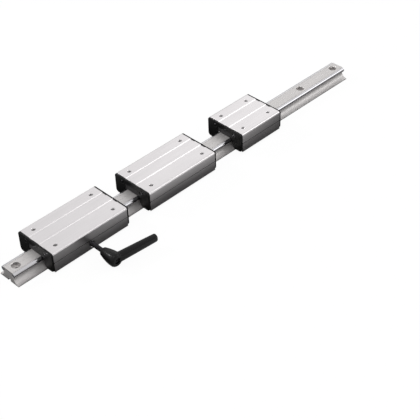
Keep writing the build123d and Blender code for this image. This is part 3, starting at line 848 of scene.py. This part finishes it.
class GUIDE_OT_shafts(bpy.types.Operator):
    """Turn the two guide shafts with broken edges"""

    bl_idname = "guide.shafts"
    bl_label = "Guide shafts"

    def execute(self, context):
        for side, name in ((1, "left"), (-1, "right")):
            profile = rod(SHAFT_RADIUS, RAIL_START, RAIL_END, CHAMFER)
            shaft = lathe(f"{name}_shaft", profile, turns=72)
            place(shaft, Matrix.Translation((0, side * SHAFT_Y, SHAFT_Z)) @ ALONG_RAIL)
            names = ("Ground shaft steel", "rail", "shaft_steel", f"{name}_guide_shaft")
            finish_piece(shade(shaft), *names)
        return {"FINISHED"}


# Carriages


def body_ends(which):
    """Both ends of a carriage body along the rail, each with its way outwards."""
    return list(zip(span(f"{which}_carriage_body", 0), (-1, 1)))


def set_in(which, inset):
    """The two places on a carriage's length that are set in from its ends."""
    return [x - way * inset for x, way in body_ends(which)]


def roller_places(which, side, shift=0.0):
    """The two roller axles on one side of a carriage."""
    return [(x + shift, side * AXLE_Y) for x in set_in(which, AXLE_INSET[which])]


def bolt_places(which):
    """The four roller bolts of a carriage; those in the eccentric bushes are off their axles."""
    return roller_places(which, 1) + roller_places(which, -1, ECCENTRICITY)


def screw_pair(x, way):
    """Two end plate screws, whose heads face outwards."""
    return [((x, side * SCREW_GAUGE / 2, SCREW_HEIGHT), (0, way * pi / 2, 0)) for side in (-1, 1)]


def body_loop():
    """The carriage body's section: an inverted U, top channels, and a fine slot in each side."""
    inner = SIDE_Y - LEG_THICKNESS
    line = CARRIAGE_TOP - SIDE_LINE_DROP
    below, above = line - SIDE_LINE_WIDTH / 2, line + SIDE_LINE_WIDTH / 2
    groove = SIDE_Y - SIDE_LINE_DEPTH
    floor = CARRIAGE_TOP - TOP_CHANNEL_DEPTH
    half = [(RIB_HALF, RIB_CEILING), (RIB_HALF, CEILING), (inner, CEILING)]
    half += [(inner, CARRIAGE_BOTTOM)]
    half += corner((SIDE_Y - LEG_ROUND, CARRIAGE_BOTTOM + LEG_ROUND), LEG_ROUND, -90, 0, 4)
    half += [(SIDE_Y, below), (groove, below), (groove, above), (SIDE_Y, above)]
    half += corner((SIDE_Y - TOP_ROUND, CARRIAGE_TOP - TOP_ROUND), TOP_ROUND, 0, 90, 10)
    half += [(TOP_CHANNEL_OUTER, CARRIAGE_TOP), (TOP_CHANNEL_OUTER - TOP_CHANNEL_DEPTH, floor)]
    half += [(TOP_CHANNEL_INNER + TOP_CHANNEL_DEPTH, floor), (TOP_CHANNEL_INNER, CARRIAGE_TOP)]
    return mirrored(half)


class GUIDE_OT_bodies(bpy.types.Operator):
    """Extrude the three carriage bodies and cut their tapped, bolt and screw holes"""

    bl_idname = "guide.bodies"
    bl_label = "Carriage bodies"

    def execute(self, context):
        depth = CARRIAGE_TOP - CEILING + PAST
        bolt, screw, spigot = BOLT_RADIUS + FIT, SCREW_RADIUS + FIT, SPIGOT_RADIUS + FIT
        bolt_end, screw_end = CEILING + BOLT_GRIP + BOLT_SPARE, -SCREW_LENGTH - SCREW_SPARE
        for which in CARRIAGES:
            start, end = span(f"{which}_carriage_body", 0)
            body = extrusion(f"{which}_body", body_loop(), start, end, BODY_EDGE)
            # Each thread starts at its own angle
            tapped_places = [
                ((x, side * TAPPED_GAUGE / 2, CARRIAGE_TOP), (0, 0, 0.7 * side + x))
                for x in set_in(which, TAPPED_INSET[which])
                for side in (-1, 1)
            ]
            tapped = (TAPPED_RADIUS, TAPPED_THREAD, TAPPED_PITCH, -depth, TAPPED_PITCH)
            drill(body, thread("tapped", *tapped, turns=24, steps=6), tapped_places)
            mouth = [(TAPPED_RADIUS - OVER, -MOUTH_DEPTH), (TAPPED_MOUTH + OVER, OVER)]
            drill(body, lathe("mouth", mouth, turns=40), tapped_places)
            hole = [(bolt, CEILING - OVER), (bolt, bolt_end), (0, bolt_end + DRILL_POINT)]
            spots = [(x, y, 0) for x, y in bolt_places(which)]
            drill(body, lathe("bolt_hole", hole, turns=32), unturned(spots))
            hole = [(0, screw_end - DRILL_POINT), (screw, screw_end), (screw, OVER)]
            pairs = screw_pair(start, -1) + screw_pair(end, 1)
            drill(body, lathe("screw_hole", hole, turns=24), pairs)
            if which == "near":
                hole = [(spigot, -LEG_THICKNESS - CHAMFER), (spigot, -MOUTH_BREAK)]
                hole += [(spigot + CHAMFER, FINE_BREAK)]
                cut(body, place(lathe("spigot_hole", hole), lever_place(0)))
            names = ("Anodised carriage aluminium", "carriage_aluminium", "carriage_body")
            finish_on(which, shade(body), *names)
        return {"FINISHED"}


def plate_loop():
    """The end plate's outline: rounded, open below for the rail."""
    outer = SIDE_Y - PLATE_INSET
    top = CARRIAGE_TOP - PLATE_INSET
    bottom = CARRIAGE_BOTTOM + PLATE_INSET
    opening = SHAFT_Y + SHAFT_RADIUS + OPENING_GAP
    # Below the waist the opening widens with the foot's flanks
    flare = (FOOT_HALF + OPENING_GAP - opening) / (WAIST_HEIGHT - FOOT_EDGE)
    foot_opening = opening + flare * (WAIST_HEIGHT - bottom)
    half = [(opening, RAIL_HEIGHT + OPENING_GAP), (opening, WAIST_HEIGHT), (foot_opening, bottom)]
    foot = (outer - PLATE_FOOT_ROUND, bottom + PLATE_FOOT_ROUND)
    half += corner(foot, PLATE_FOOT_ROUND, -90, 0, 10)
    half += corner((outer - TOP_ROUND, top - TOP_ROUND), TOP_ROUND, 0, 90, 10)
    return mirrored(half)


class GUIDE_OT_plates(bpy.types.Operator):
    """Mould the end plates with their window, pocket and screw recesses"""

    bl_idname = "guide.plates"
    bl_label = "End plates"

    def execute(self, context):
        edge = sizes()["plate_edge"]
        flange, top = FLANGE_HALF + RUNNING_GAP, FLANGE_TOP + RUNNING_GAP
        bottom = TAB_BOTTOM - RUNNING_GAP
        hole, wide = SCREW_RADIUS + FIT, RECESS_RADIUS
        recess = [(hole, -PLATE_THICKNESS - OVER), (hole, -RECESS_DEPTH), (wide, -RECESS_DEPTH)]
        recess += [(wide, -MOUTH_BREAK), (wide + 2 * MOUTH_BREAK, MOUTH_BREAK)]
        for which in CARRIAGES:
            for end, (seat, way) in zip(("front", "rear"), body_ends(which)):
                face = seat + way * PLATE_THICKNESS
                low, high = sorted((seat, face))
                plate = extrusion(f"{which}_{end}_plate", plate_loop(), low, high, edge)
                ends = low - PAST, high + PAST
                cut(plate, box_cutter("window", ends, WINDOW_HALF, RAIL_HEIGHT, WINDOW_TOP))
                ends = sorted((seat - way * PAST, seat + way * (FLANGE_THICKNESS + RUNNING_GAP)))
                cut(plate, box_cutter("pocket", ends, flange, bottom, top))
                drill(plate, lathe("recess", recess), screw_pair(face, way))
                names = ("Moulded black nylon", "end_plate_plastic", f"{end}_end_plate")
                finish_on(which, shade(plate), *names)
        return {"FINISHED"}


class GUIDE_OT_wipers(bpy.types.Operator):
    """Mould the rubber wipers with their lips close to the rail"""

    bl_idname = "guide.wipers"
    bl_label = "Wipers"

    def execute(self, context):
        rail_half = SHAFT_Y + SHAFT_RADIUS + WIPER_GAP
        rail_top = RAIL_HEIGHT + WIPER_GAP
        half = [(rail_half, rail_top), (rail_half, TAB_BOTTOM), (FLANGE_HALF, TAB_BOTTOM)]
        middle = (FLANGE_HALF - FLANGE_ROUND, FLANGE_TOP - FLANGE_ROUND)
        flange_loop = mirrored(half + corner(middle, FLANGE_ROUND, 0, 90, 4))
        strip, top = WINDOW_HALF - RUNNING_GAP, WINDOW_TOP - RUNNING_GAP
        strip_loop = [(-strip, rail_top), (strip, rail_top), (strip, top), (-strip, top)]
        for which in CARRIAGES:
            parts = []
            for seat, way in body_ends(which):
                ends = sorted((seat, seat + way * FLANGE_THICKNESS))
                flange = extrusion("flange", flange_loop, *ends, FINE_BREAK)
                front = seat + way * (PLATE_THICKNESS - WIPER_SETBACK)
                ends = sorted((seat + way * LIP_START, front))
                raised = extrusion("raised", strip_loop, *ends, LIP_EDGE)
                parts.append(cut(flange, raised, "UNION"))
            wipers = shade(merged(f"{which}_wipers", parts))
            finish_on(which, wipers, "Moulded rubber", "wiper_rubber", "rail_wipers")
        return {"FINISHED"}


def screw_places(which):
    """The four end plate screws of a carriage, each with its cross turned its own way."""
    places = []
    for seat, way in body_ends(which):
        x = seat + way * (PLATE_THICKNESS - RECESS_DEPTH)
        for side, (spot, turned) in zip((-1, 1), screw_pair(x, way)):
            turn = 0.9 * side + 0.6 * way + 0.8 * CARRIAGES.index(which)
            facing = Matrix.Rotation(turned[1], 4, "Y") @ Matrix.Rotation(turn, 4, "Z")
            places.append((spot, tuple(facing.to_euler())))
    return places


class GUIDE_OT_plate_screws(bpy.types.Operator):
    """Make the end plates' cross recess screws"""

    bl_idname = "guide.plate_screws"
    bl_label = "End plate screws"

    def execute(self, context):
        shank, head, tall = SCREW_RADIUS, SCREW_HEAD_RADIUS, SCREW_HEAD_HEIGHT
        reach = head * CROSS_REACH
        tip = -(SCREW_LENGTH + PLATE_THICKNESS - RECESS_DEPTH)
        profile = [(shank - CHAMFER, tip), (shank, tip + CHAMFER), (shank, 0)]
        profile += [(head - FINE_BREAK, 0), (head, FINE_BREAK)]
        profile += [(head * across, tall * up) for across, up in HEAD_DOME]
        screw = lathe("screw", profile, turns=40)
        for turn in (0, pi / 2):
            slot = box_cutter("slot", (-reach, reach), CROSS_HALF, tall * CROSS_FLOOR, tall + OVER)
            cut(screw, place(slot, Matrix.Rotation(turn, 4, "Z")))
        names = ("Blackened screw steel", "small_screw_steel", "end_plate_screws")
        set_of("screws", shade(screw), screw_places, *names)
        return {"FINISHED"}


# Track rollers


def ring_profile(face, bore):
    """A ring's closed profile, mirrored from one face, whose bore is broken at both ends."""
    half = -face[0][1]
    profile = face + [(radius, -height) for radius, height in reversed(face)]
    return profile + [(bore, half - RING_BREAK), (bore, RING_BREAK - half)]


class GUIDE_OT_rollers(bpy.types.Operator):
    """Grind the twelve grooved rollers, each on its own body"""

    bl_idname = "guide.rollers"
    bl_label = "Rollers"

    def execute(self, context):
        root = ROLLER_RADIUS - GROOVE_HALF * tan(radians(CONTACT_ANGLE))
        half, outer = ROLLER_WIDTH / 2, ROLLER_RADIUS
        face = [(ROLLER_BORE + RING_BREAK, -half), (outer - ROLLER_CHAMFER, -half)]
        # The groove's edges are broken and its root is flat
        face += [(outer, ROLLER_CHAMFER - half), (outer, -GROOVE_HALF - GROOVE_BREAK)]
        face += [(outer - GROOVE_BREAK, GROOVE_EASE - GROOVE_HALF), (root + ROOT_LIFT, -ROOT_HALF)]
        profile = ring_profile(face, ROLLER_BORE)
        for which in CARRIAGES:
            for side, side_name in ((1, "left"), (-1, "right")):
                for end, (x, y) in zip(("front", "rear"), roller_places(which, side)):
                    name = f"{which}_{end}_{side_name}_roller"
                    roller = lathe(f"{name}_ring", profile, 96, closed=True)
                    place(roller, Matrix.Translation((x, y, SHAFT_Z)))
                    names = ("Ground bearing steel", name, "roller_steel", name)
                    finish_piece(shade(roller), *names)
        return {"FINISHED"}


class GUIDE_OT_inner_rings(bpy.types.Operator):
    """Make the inner rings with their pressed shields"""

    bl_idname = "guide.inner_rings"
    bl_label = "Inner rings"

    def execute(self, context):
        outer, half = ROLLER_BORE - RUNNING_GAP, RING_WIDTH / 2
        shield = SHIELD_DROP - half
        face = [(RING_BORE + RING_BREAK, -half), (RING_BORE + RING_LAND, -half)]
        face += [(RING_BORE + SHIELD_START, shield)]
        face += [(outer - SHIELD_EDGE, shield + FINE_BREAK), (outer, shield + BREAK)]
        ring = shade(lathe("inner_ring", ring_profile(face, RING_BORE), 56, closed=True))

        def places(which):
            spots = roller_places(which, 1) + roller_places(which, -1)
            return unturned([(x, y, SHAFT_Z) for x, y in spots])

        set_of("rings", ring, places, "Ground bearing steel", "roller_steel", "roller_inner_rings")
        return {"FINISHED"}


class GUIDE_OT_bushes(bpy.types.Operator):
    """Make the round bushes, and the eccentric ones with a hexagon"""

    bl_idname = "guide.bushes"
    bl_label = "Bushes"

    def execute(self, context):
        low, high = -RING_WIDTH / 2, RING_WIDTH / 2
        top = CEILING - SHAFT_Z
        sleeve, hole, wide = RING_BORE - FIT, BOLT_RADIUS + FIT, COLLAR_CORNER
        for side, kind, shift in ((1, "concentric", 0.0), (-1, "eccentric", ECCENTRICITY)):
            bush = lathe("sleeve", [(sleeve, low), (sleeve, high + OVER)])
            if side > 0:
                collar = lathe("collar", rod(COLLAR_RADIUS, high, top, BREAK))
            else:
                collar = prism("collar", COLLAR_FLAT, 6, high, top)
                place(collar, Matrix.Rotation(pi / 6, 4, "Z"))
                rounding = [(COLLAR_SEAT, high), (wide, high + ROD_CHAMFER), (wide, top)]
                cut(collar, lathe("rounding", rounding), "INTERSECT")
            cut(bush, collar, "UNION")
            bore = lathe("bore", [(hole, low - PAST), (hole, top + PAST)], turns=36)
            cut(bush, place(bore, Matrix.Translation((shift, 0, 0))))

            def places(which):
                return unturned([(x, y, SHAFT_Z) for x, y in roller_places(which, side)])

            names = ("Turned steel", "bush_steel", f"{kind}_bushes")
            set_of(f"{kind}_set", shade(bush), places, *names)
        return {"FINISHED"}


def socket_screw(name, shank, head, height, end, socket, depth):
    """A socket head screw along Z, its head below 0 and its shank above."""
    profile = [(head - BREAK, -height), (head, BREAK - height), (head, -FINE_BREAK)]
    profile += [(head - FINE_BREAK, 0), (shank, 0)]
    profile += [(shank, end - ROD_CHAMFER), (shank - ROD_CHAMFER, end)]
    screw = lathe(name, profile, turns=44)
    cut(screw, prism("socket", socket, 6, -height - PAST, depth - height))
    wide = socket * SOCKET_CORNER
    mouth = [(wide + FINE_BREAK + OVER, -height - OVER), (wide - FINE_BREAK, MOUTH_BREAK - height)]
    cut(screw, lathe("mouth", mouth, turns=36))
    return shade(screw)


class GUIDE_OT_roller_bolts(bpy.types.Operator):
    """Make the bolts that hold the rollers, screwed up into the bodies"""

    bl_idname = "guide.roller_bolts"
    bl_label = "Roller bolts"

    def execute(self, context):
        seat = SHAFT_Z - RING_WIDTH / 2
        head = (BOLT_HEAD_RADIUS, BOLT_HEAD_HEIGHT)
        end = CEILING - seat + BOLT_GRIP
        bolt = socket_screw("bolt", BOLT_RADIUS, *head, end, BOLT_SOCKET, BOLT_SOCKET_DEPTH)

        def places(which):
            # Each bolt's socket stands at its own angle
            return [((x, y, seat), (0, 0, 0.5 * x)) for x, y in bolt_places(which)]

        set_of("bolts", bolt, places, "Turned steel", "bush_steel", "roller_bolts")
        return {"FINISHED"}


# Clamp


def lever_place(distance):
    """Turn Z to point out of the carriage's side, at a distance from that side."""
    spot = Matrix.Translation((CLAMP_X, -SIDE_Y - distance, CLAMP_Z))
    return spot @ Matrix.Rotation(pi / 2, 4, "X")


class GUIDE_OT_clamp_block(bpy.types.Operator):
    """Make the threaded block with its spigot"""

    bl_idname = "guide.clamp_block"
    bl_label = "Clamp block"

    def execute(self, context):
        outer = -LEG_THICKNESS
        inner = outer - BLOCK_DEPTH
        bottom = SHAFT_Y + SHOE_REACH + SHOE_LENGTH - SIDE_Y + SHOE_SPARE
        loop = []
        for x, z, start in ((1, 1, 0), (-1, 1, 90), (-1, -1, 180), (1, -1, 270)):
            middle = (x * (BLOCK_LENGTH / 2 - BLOCK_ROUND), z * (BLOCK_HEIGHT / 2 - BLOCK_ROUND))
            loop += corner(middle, BLOCK_ROUND, start, start + 90, 6)
        block = place(extrusion("block", loop, inner, outer, BREAK), UPRIGHT)
        top, wide = -SPIGOT_SETBACK, SPIGOT_RADIUS
        spigot = [(wide, outer - PAST), (wide, top - BREAK), (wide - BREAK, top)]
        cut(block, lathe("spigot", spigot), "UNION")
        shoe, stud = SHOE_RADIUS + RUNNING_GAP, STUD_RADIUS + RUNNING_GAP
        bore = [(shoe, inner - PAST), (shoe, bottom), (stud, bottom + SHOE_CONE)]
        bore += [(stud, top - CHAMFER), (stud + OVER, top + MOUTH_BREAK)]
        cut(block, lathe("bore", bore))
        place(block, lever_place(0))
        shade(face_outwards(block))
        finish_piece(block, "Turned steel", "near_carriage", "bush_steel", "clamp_block")
        return {"FINISHED"}


class GUIDE_OT_clamp_shoe(bpy.types.Operator):
    """Turn the brass shoe and hollow its nose to the shaft"""

    bl_idname = "guide.clamp_shoe"
    bl_label = "Clamp shoe"

    def execute(self, context):
        nose = SHAFT_Y + SHOE_REACH - SIDE_Y
        back, wide = nose + SHOE_LENGTH, SHOE_RADIUS
        profile = [(wide, nose), (wide, back - CHAMFER), (wide - CHAMFER, back)]
        shoe = place(lathe("shoe", profile), lever_place(0))
        radius, reach = SHAFT_RADIUS + RUNNING_GAP, 2 * SHOE_RADIUS + 2
        hollow = lathe("hollow", [(radius, -reach), (radius, reach)], turns=64)
        cut(shoe, place(hollow, Matrix.Translation((CLAMP_X, -SHAFT_Y, SHAFT_Z)) @ ALONG_RAIL))
        shade(shoe)
        finish_piece(shoe, "Turned brass", "clamp_shoe", "shoe_brass", "clamp_shoe")
        return {"FINISHED"}


def star(name, outer, start, end):
    """A ring of teeth along Z, seen from above a toothed star."""
    loop = []
    for index in range(2 * TOOTH_COUNT):
        radius = outer if index % 2 == 0 else outer - TOOTH_DEPTH
        angle = pi * index / TOOTH_COUNT
        loop.append((radius * cos(angle), radius * sin(angle)))
    return place(extrusion(name, loop, start, end), UPRIGHT)


class GUIDE_OT_lever_insert(bpy.types.Operator):
    """Cut the thread of the stud and the insert's ring of teeth"""

    bl_idname = "guide.lever_insert"
    bl_label = "Lever insert"

    def execute(self, context):
        start, end = INSERT_START, INSERT_START + INSERT_LENGTH
        tip = -(SIDE_Y - SHAFT_Y - SHOE_REACH - SHOE_LENGTH - RUNNING_GAP)
        stud = (STUD_RADIUS - STUD_THREAD, STUD_THREAD, STUD_PITCH, tip, start - THREAD_SETBACK)
        insert = thread("insert", *stud, turns=40, steps=10)
        tooth_start, neck = end - TOOTH_HEIGHT, STUD_RADIUS - ROD_CHAMFER
        pilot = [(neck, start - PILOT_REACH), (neck, start), (INSERT_RADIUS - ROD_CHAMFER, start)]
        pilot += [(INSERT_RADIUS, start + ROD_CHAMFER), (INSERT_RADIUS, tooth_start)]
        cut(insert, lathe("pilot", pilot), "UNION")
        cut(insert, star("teeth", INSERT_RADIUS, tooth_start - OVERLAP, end), "UNION")
        hole = LEVER_SCREW_RADIUS + FIT
        bore = [(hole, end - BORE_DEPTH), (hole, end - CHAMFER)]
        bore += [(hole + BORE_BREAK, end + FINE_BREAK)]
        cut(insert, lathe("bore", bore, turns=36))
        shade(place(insert, lever_place(0)), 40)
        finish_piece(insert, "Blackened steel", "lever_insert", "insert_steel", "lever_insert")
        return {"FINISHED"}


def lever_arm():
    """The arm: oval at the hub, with flatter faces towards its rounded tip."""
    rise, turn = radians(ARM_RISE), radians(ARM_TURN)
    along = Vector((cos(rise) * cos(turn), -sin(rise), cos(rise) * sin(turn)))
    across = along.cross(Vector((0, -1, 0))).normalized()
    out = across.cross(along).normalized()
    root = Vector((CLAMP_X, -SIDE_Y - ARM_ROOT, CLAMP_Z))
    points = [(cos(2 * pi * step / 48), sin(2 * pi * step / 48)) for step in range(48)]
    rings = []
    for reach, width, thickness, power in ARM_SECTIONS:
        middle = root + along * reach
        squared = [[copysign(abs(part) ** (2 / power), part) for part in point] for point in points]
        wide, thick = across * width / 2, out * thickness / 2
        rings.append([middle + wide * u + thick * v for u, v in squared])
    return tube("arm", rings)


class GUIDE_OT_lever_handle(bpy.types.Operator):
    """Cast the lever: a tapered hub with a domed top and an oval arm, blended together"""

    bl_idname = "guide.lever_handle"
    bl_label = "Lever handle"

    def execute(self, context):
        start, end = LEVER_START, LEVER_START + HUB_LENGTH
        profile = [(HUB_BASE + wider, start + up) for wider, up in HUB_NECK]
        profile += [(HUB_TOP - less, end - down) for less, down in HUB_DOME]
        hub = place(lathe("handle", profile, turns=72), lever_place(0))
        cut(hub, lever_arm(), "UNION")
        remesh = hub.modifiers.new("Cast skin", "REMESH")
        remesh.mode = "VOXEL"
        remesh.voxel_size = CAST_GRAIN * MM
        soft = hub.modifiers.new("Cast edges", "SMOOTH")
        soft.factor, soft.iterations = CAST_SMOOTHING, CAST_PASSES
        settle(hub)
        floor, cavity = WEB_START + WEB_THICKNESS, CAVITY_RADIUS
        pilot, hole = INSERT_RADIUS + 2 * RUNNING_GAP, LEVER_SCREW_RADIUS + WEB_CLEARANCE
        inside = [(pilot, start - PAST), (pilot, WEB_START), (hole, WEB_START), (hole, floor)]
        inside += [(cavity, floor), (cavity, end - CHAMFER), (cavity + 2 * CHAMFER, end + CHAMFER)]
        cut(hub, place(lathe("inside", inside, turns=64), lever_place(0)))
        shade(hub, 50)
        finish_piece(hub, "Powder coated zinc", "lever_handle", "handle_coating", "lever_handle")
        return {"FINISHED"}


class GUIDE_OT_lever_screw(bpy.types.Operator):
    """Make the retaining screw that holds the lever's spring"""

    bl_idname = "guide.lever_screw"
    bl_label = "Lever screw"

    def execute(self, context):
        seat = WEB_START + WEB_THICKNESS + SPRING_LENGTH
        end = seat - (INSERT_START + INSERT_LENGTH) + LEVER_SCREW_DEPTH
        head = (LEVER_SCREW_HEAD, LEVER_SCREW_HEIGHT)
        socket = (LEVER_SCREW_SOCKET, LEVER_SCREW_HEIGHT / 2)
        screw = socket_screw("retaining_screw", LEVER_SCREW_RADIUS, *head, end, *socket)
        place(screw, lever_place(seat) @ Matrix.Rotation(pi, 4, "X"))
        finish_piece(screw, "Blackened steel", "lever_insert", "insert_steel", "lever_screw")
        return {"FINISHED"}


class GUIDE_OT_lever_spring(bpy.types.Operator):
    """Wind the lever's spring"""

    bl_idname = "guide.lever_spring"
    bl_label = "Lever spring"

    def execute(self, context):
        web = WEB_START + WEB_THICKNESS
        spring = linked("spring", bpy.data.meshes.new("spring"))
        wound = SPRING_LENGTH - 2 * (SPRING_WIRE + RUNNING_GAP)
        values = {"Coil Radius": SPRING_RADIUS * MM, "Wire Radius": SPRING_WIRE * MM}
        values |= {"Length": wound * MM, "Turns": SPRING_TURNS}
        values["Finish"] = finishes()["Drawn spring wire"]
        run_tree(spring, spring_tree(), values)
        place(face_outwards(spring), lever_place(web + SPRING_WIRE + RUNNING_GAP))
        shade(spring, 60)
        finish_piece(spring, "Drawn spring wire", "lever_insert", "spring_steel", "lever_spring")
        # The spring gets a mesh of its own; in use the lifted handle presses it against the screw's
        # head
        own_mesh(spring)
        return {"FINISHED"}


# Stage


def area_light(name, toward, size, energy):
    """A white soft box that looks at the middle of the rail from a direction, its size in mm."""
    data = bpy.data.lights.new(name, "AREA")
    data.shape = "RECTANGLE"
    data.size, data.size_y = size[0] * MM, size[1] * MM
    data.energy = energy
    away = Vector(toward).normalized()
    lamp = linked(name, data)
    lamp.location = away * LAMP_DISTANCE * MM
    lamp.rotation_euler = away.to_track_quat("Z", "Y").to_euler()


def ray_kinds(tree):
    """1 for rays from the camera, and 1 for rays that a reflection or a glass sends on."""
    rays = add_node(tree, "ShaderNodeLightPath").outputs
    sent_on = maths(tree, "MAXIMUM", rays["Is Glossy Ray"], rays["Is Transmission Ray"])
    return rays["Is Camera Ray"], sent_on


def floor_finish():
    """Pale floor: white to the camera, a graded glow in reflections, grey to bounced light."""
    finish, tree = new_finish("Pale studio floor")
    tone = ranged(tree, stretched_noise(tree, (3.0, 3.0, 3.0)), 0.99, 1.01)
    paper = add_node(tree, "ShaderNodeBsdfDiffuse", {"Color": toned(tree, tint("floor"), tone)})
    at = object_place(tree)
    # Painted light and shade: the floor glows in reflections, weak beside the guide as a painted
    # shadow, growing away from it, and falling off before and behind its middle carriage as painted
    # shade
    beside, beyond = (maths(tree, "ABSOLUTE", at[axis]) for axis in "YX")
    beside = ranged(tree, beside, 0.0, 1.0, GLOW_START * MM, GLOW_FULL * MM)
    beyond = ranged(tree, beyond, 0.0, 1.0, RAIL_END * MM, (RAIL_END + GLOW_BEYOND) * MM)
    outwards = maths(tree, "MAXIMUM", beside, beyond)
    off_middle = maths(tree, "ADD", at["X"], -GLOW_MIDDLE * MM)
    share_off = maths(tree, "DIVIDE", off_middle, GLOW_REACH * MM)
    lengthwise = maths(tree, "SUBTRACT", 1.0, maths(tree, "MULTIPLY", share_off, share_off))
    lengthwise = maths(tree, "MAXIMUM", lengthwise, GLOW_LOWEST)
    glow = maths(tree, "MULTIPLY", maths(tree, "MULTIPLY", outwards, lengthwise), GLOW_STRENGTH)
    seen, sent_on = ray_kinds(tree)
    seen = maths(tree, "MULTIPLY", seen, FLOOR_SHOWN)
    strength = maths(tree, "ADD", seen, maths(tree, "MULTIPLY", sent_on, glow))
    light = add_node(tree, "ShaderNodeEmission", {"Color": (1, 1, 1, 1), "Strength": strength})
    both = {0: paper.outputs[0], 1: light.outputs[0]}
    return close_finish(finish, add_node(tree, "ShaderNodeAddShader", both))


def studio_world():
    """White to the camera; reflections find the walls darker near the horizon than overhead."""
    world = bpy.data.worlds.new("Studio")
    world.use_nodes = True
    tree = world.node_tree
    tree.nodes.clear()
    seen, sent_on = ray_kinds(tree)
    toward = add_node(tree, "ShaderNodeTexCoord").outputs["Generated"]
    height = add_node(tree, "ShaderNodeSeparateXYZ", {0: toward}).outputs["Z"]
    walls = ranged(tree, height, HORIZON_GLOW, 1.0, 0.0, WALL_TOP)
    lit, shown = maths(tree, "MAXIMUM", seen, WORLD_FILL), maths(tree, "MULTIPLY", sent_on, walls)
    inputs = {"Color": (1, 1, 1, 1), "Strength": maths(tree, "MAXIMUM", lit, shown)}
    background = add_node(tree, "ShaderNodeBackground", inputs)
    add_node(tree, "ShaderNodeOutputWorld", {"Surface": background.outputs[0]})
    return world


class GUIDE_OT_stage(bpy.types.Operator):
    """Set the pale floor, the soft studio light and the camera"""

    bl_idname = "guide.stage"
    bl_label = "Stage"

    def execute(self, context):
        scene = context.scene
        far = FLOOR_REACH
        corners = [(-far, -far, 0), (far, -far, 0), (far, far, 0), (-far, far, 0)]
        floor = new_piece("studio_floor", corners, [(0, 1, 2, 3)])
        if floor.data.polygons[0].normal.z < 0:
            floor.data.flip_normals()
        floor.location.z = -FLOOR_DROP * MM
        floor.data.materials.append(floor_finish())

        scene.world = studio_world()
        for name, (toward, size, energy) in LAMPS.items():
            area_light(name, toward, size, energy)

        camera = linked("photo_camera", bpy.data.cameras.new("photo_camera"))
        camera.data.lens = CAMERA_LENS
        camera.data.sensor_width = CAMERA_SENSOR
        camera.data.shift_x = CAMERA_SHIFT
        camera.data.clip_start, camera.data.clip_end = CLIP_START, CLIP_END
        heading, pitch = radians(CAMERA_HEADING), radians(CAMERA_PITCH)
        forward = Vector((cos(pitch) * cos(heading), cos(pitch) * sin(heading), sin(pitch)))
        right = forward.cross(Vector((0, 0, 1))).normalized()
        level = Matrix((right, right.cross(forward), -forward)).transposed().to_4x4()
        roll = Matrix.Rotation(radians(CAMERA_ROLL), 4, "Z")
        camera.matrix_world = Matrix.Translation(Vector(CAMERA_PLACE) * MM) @ level @ roll
        scene.camera = camera
        scene.view_settings.view_transform = "Standard"
        return {"FINISHED"}


OPERATORS = (
    GUIDE_OT_rail,
    GUIDE_OT_shafts,
    GUIDE_OT_bodies,
    GUIDE_OT_plates,
    GUIDE_OT_wipers,
    GUIDE_OT_plate_screws,
    GUIDE_OT_rollers,
    GUIDE_OT_inner_rings,
    GUIDE_OT_bushes,
    GUIDE_OT_roller_bolts,
    GUIDE_OT_clamp_block,
    GUIDE_OT_clamp_shoe,
    GUIDE_OT_lever_insert,
    GUIDE_OT_lever_handle,
    GUIDE_OT_lever_screw,
    GUIDE_OT_lever_spring,
    GUIDE_OT_stage,
)


class GUIDE_PT_panel(bpy.types.Panel):
    """The guide's sizes, colours and pieces"""

    bl_idname = "GUIDE_PT_panel"
    bl_label = "Roller guide"
    bl_space_type = "VIEW_3D"
    bl_region_type = "UI"
    bl_category = "Roller guide"

    def draw(self, context):
        for group in (context.scene.guide_sizes, context.scene.guide_colours):
            for name in type(group).__annotations__:
                self.layout.prop(group, name)
        for operator in OPERATORS:
            self.layout.operator(operator.bl_idname)


CLASSES = (GuideSizes, GuideColours, *OPERATORS, GUIDE_PT_panel)


def register():
    for each in CLASSES:
        bpy.utils.register_class(each)
    bpy.types.Scene.guide_sizes = bpy.props.PointerProperty(type=GuideSizes)
    bpy.types.Scene.guide_colours = bpy.props.PointerProperty(type=GuideColours)


def unregister():
    del bpy.types.Scene.guide_colours
    del bpy.types.Scene.guide_sizes
    for each in reversed(CLASSES):
        bpy.utils.unregister_class(each)


def main():
    """Build every piece in order."""
    register()
    for operator in OPERATORS:
        group, name = operator.bl_idname.split(".")
        getattr(getattr(bpy.ops, group), name)()


if __name__ == "__main__":
    main()
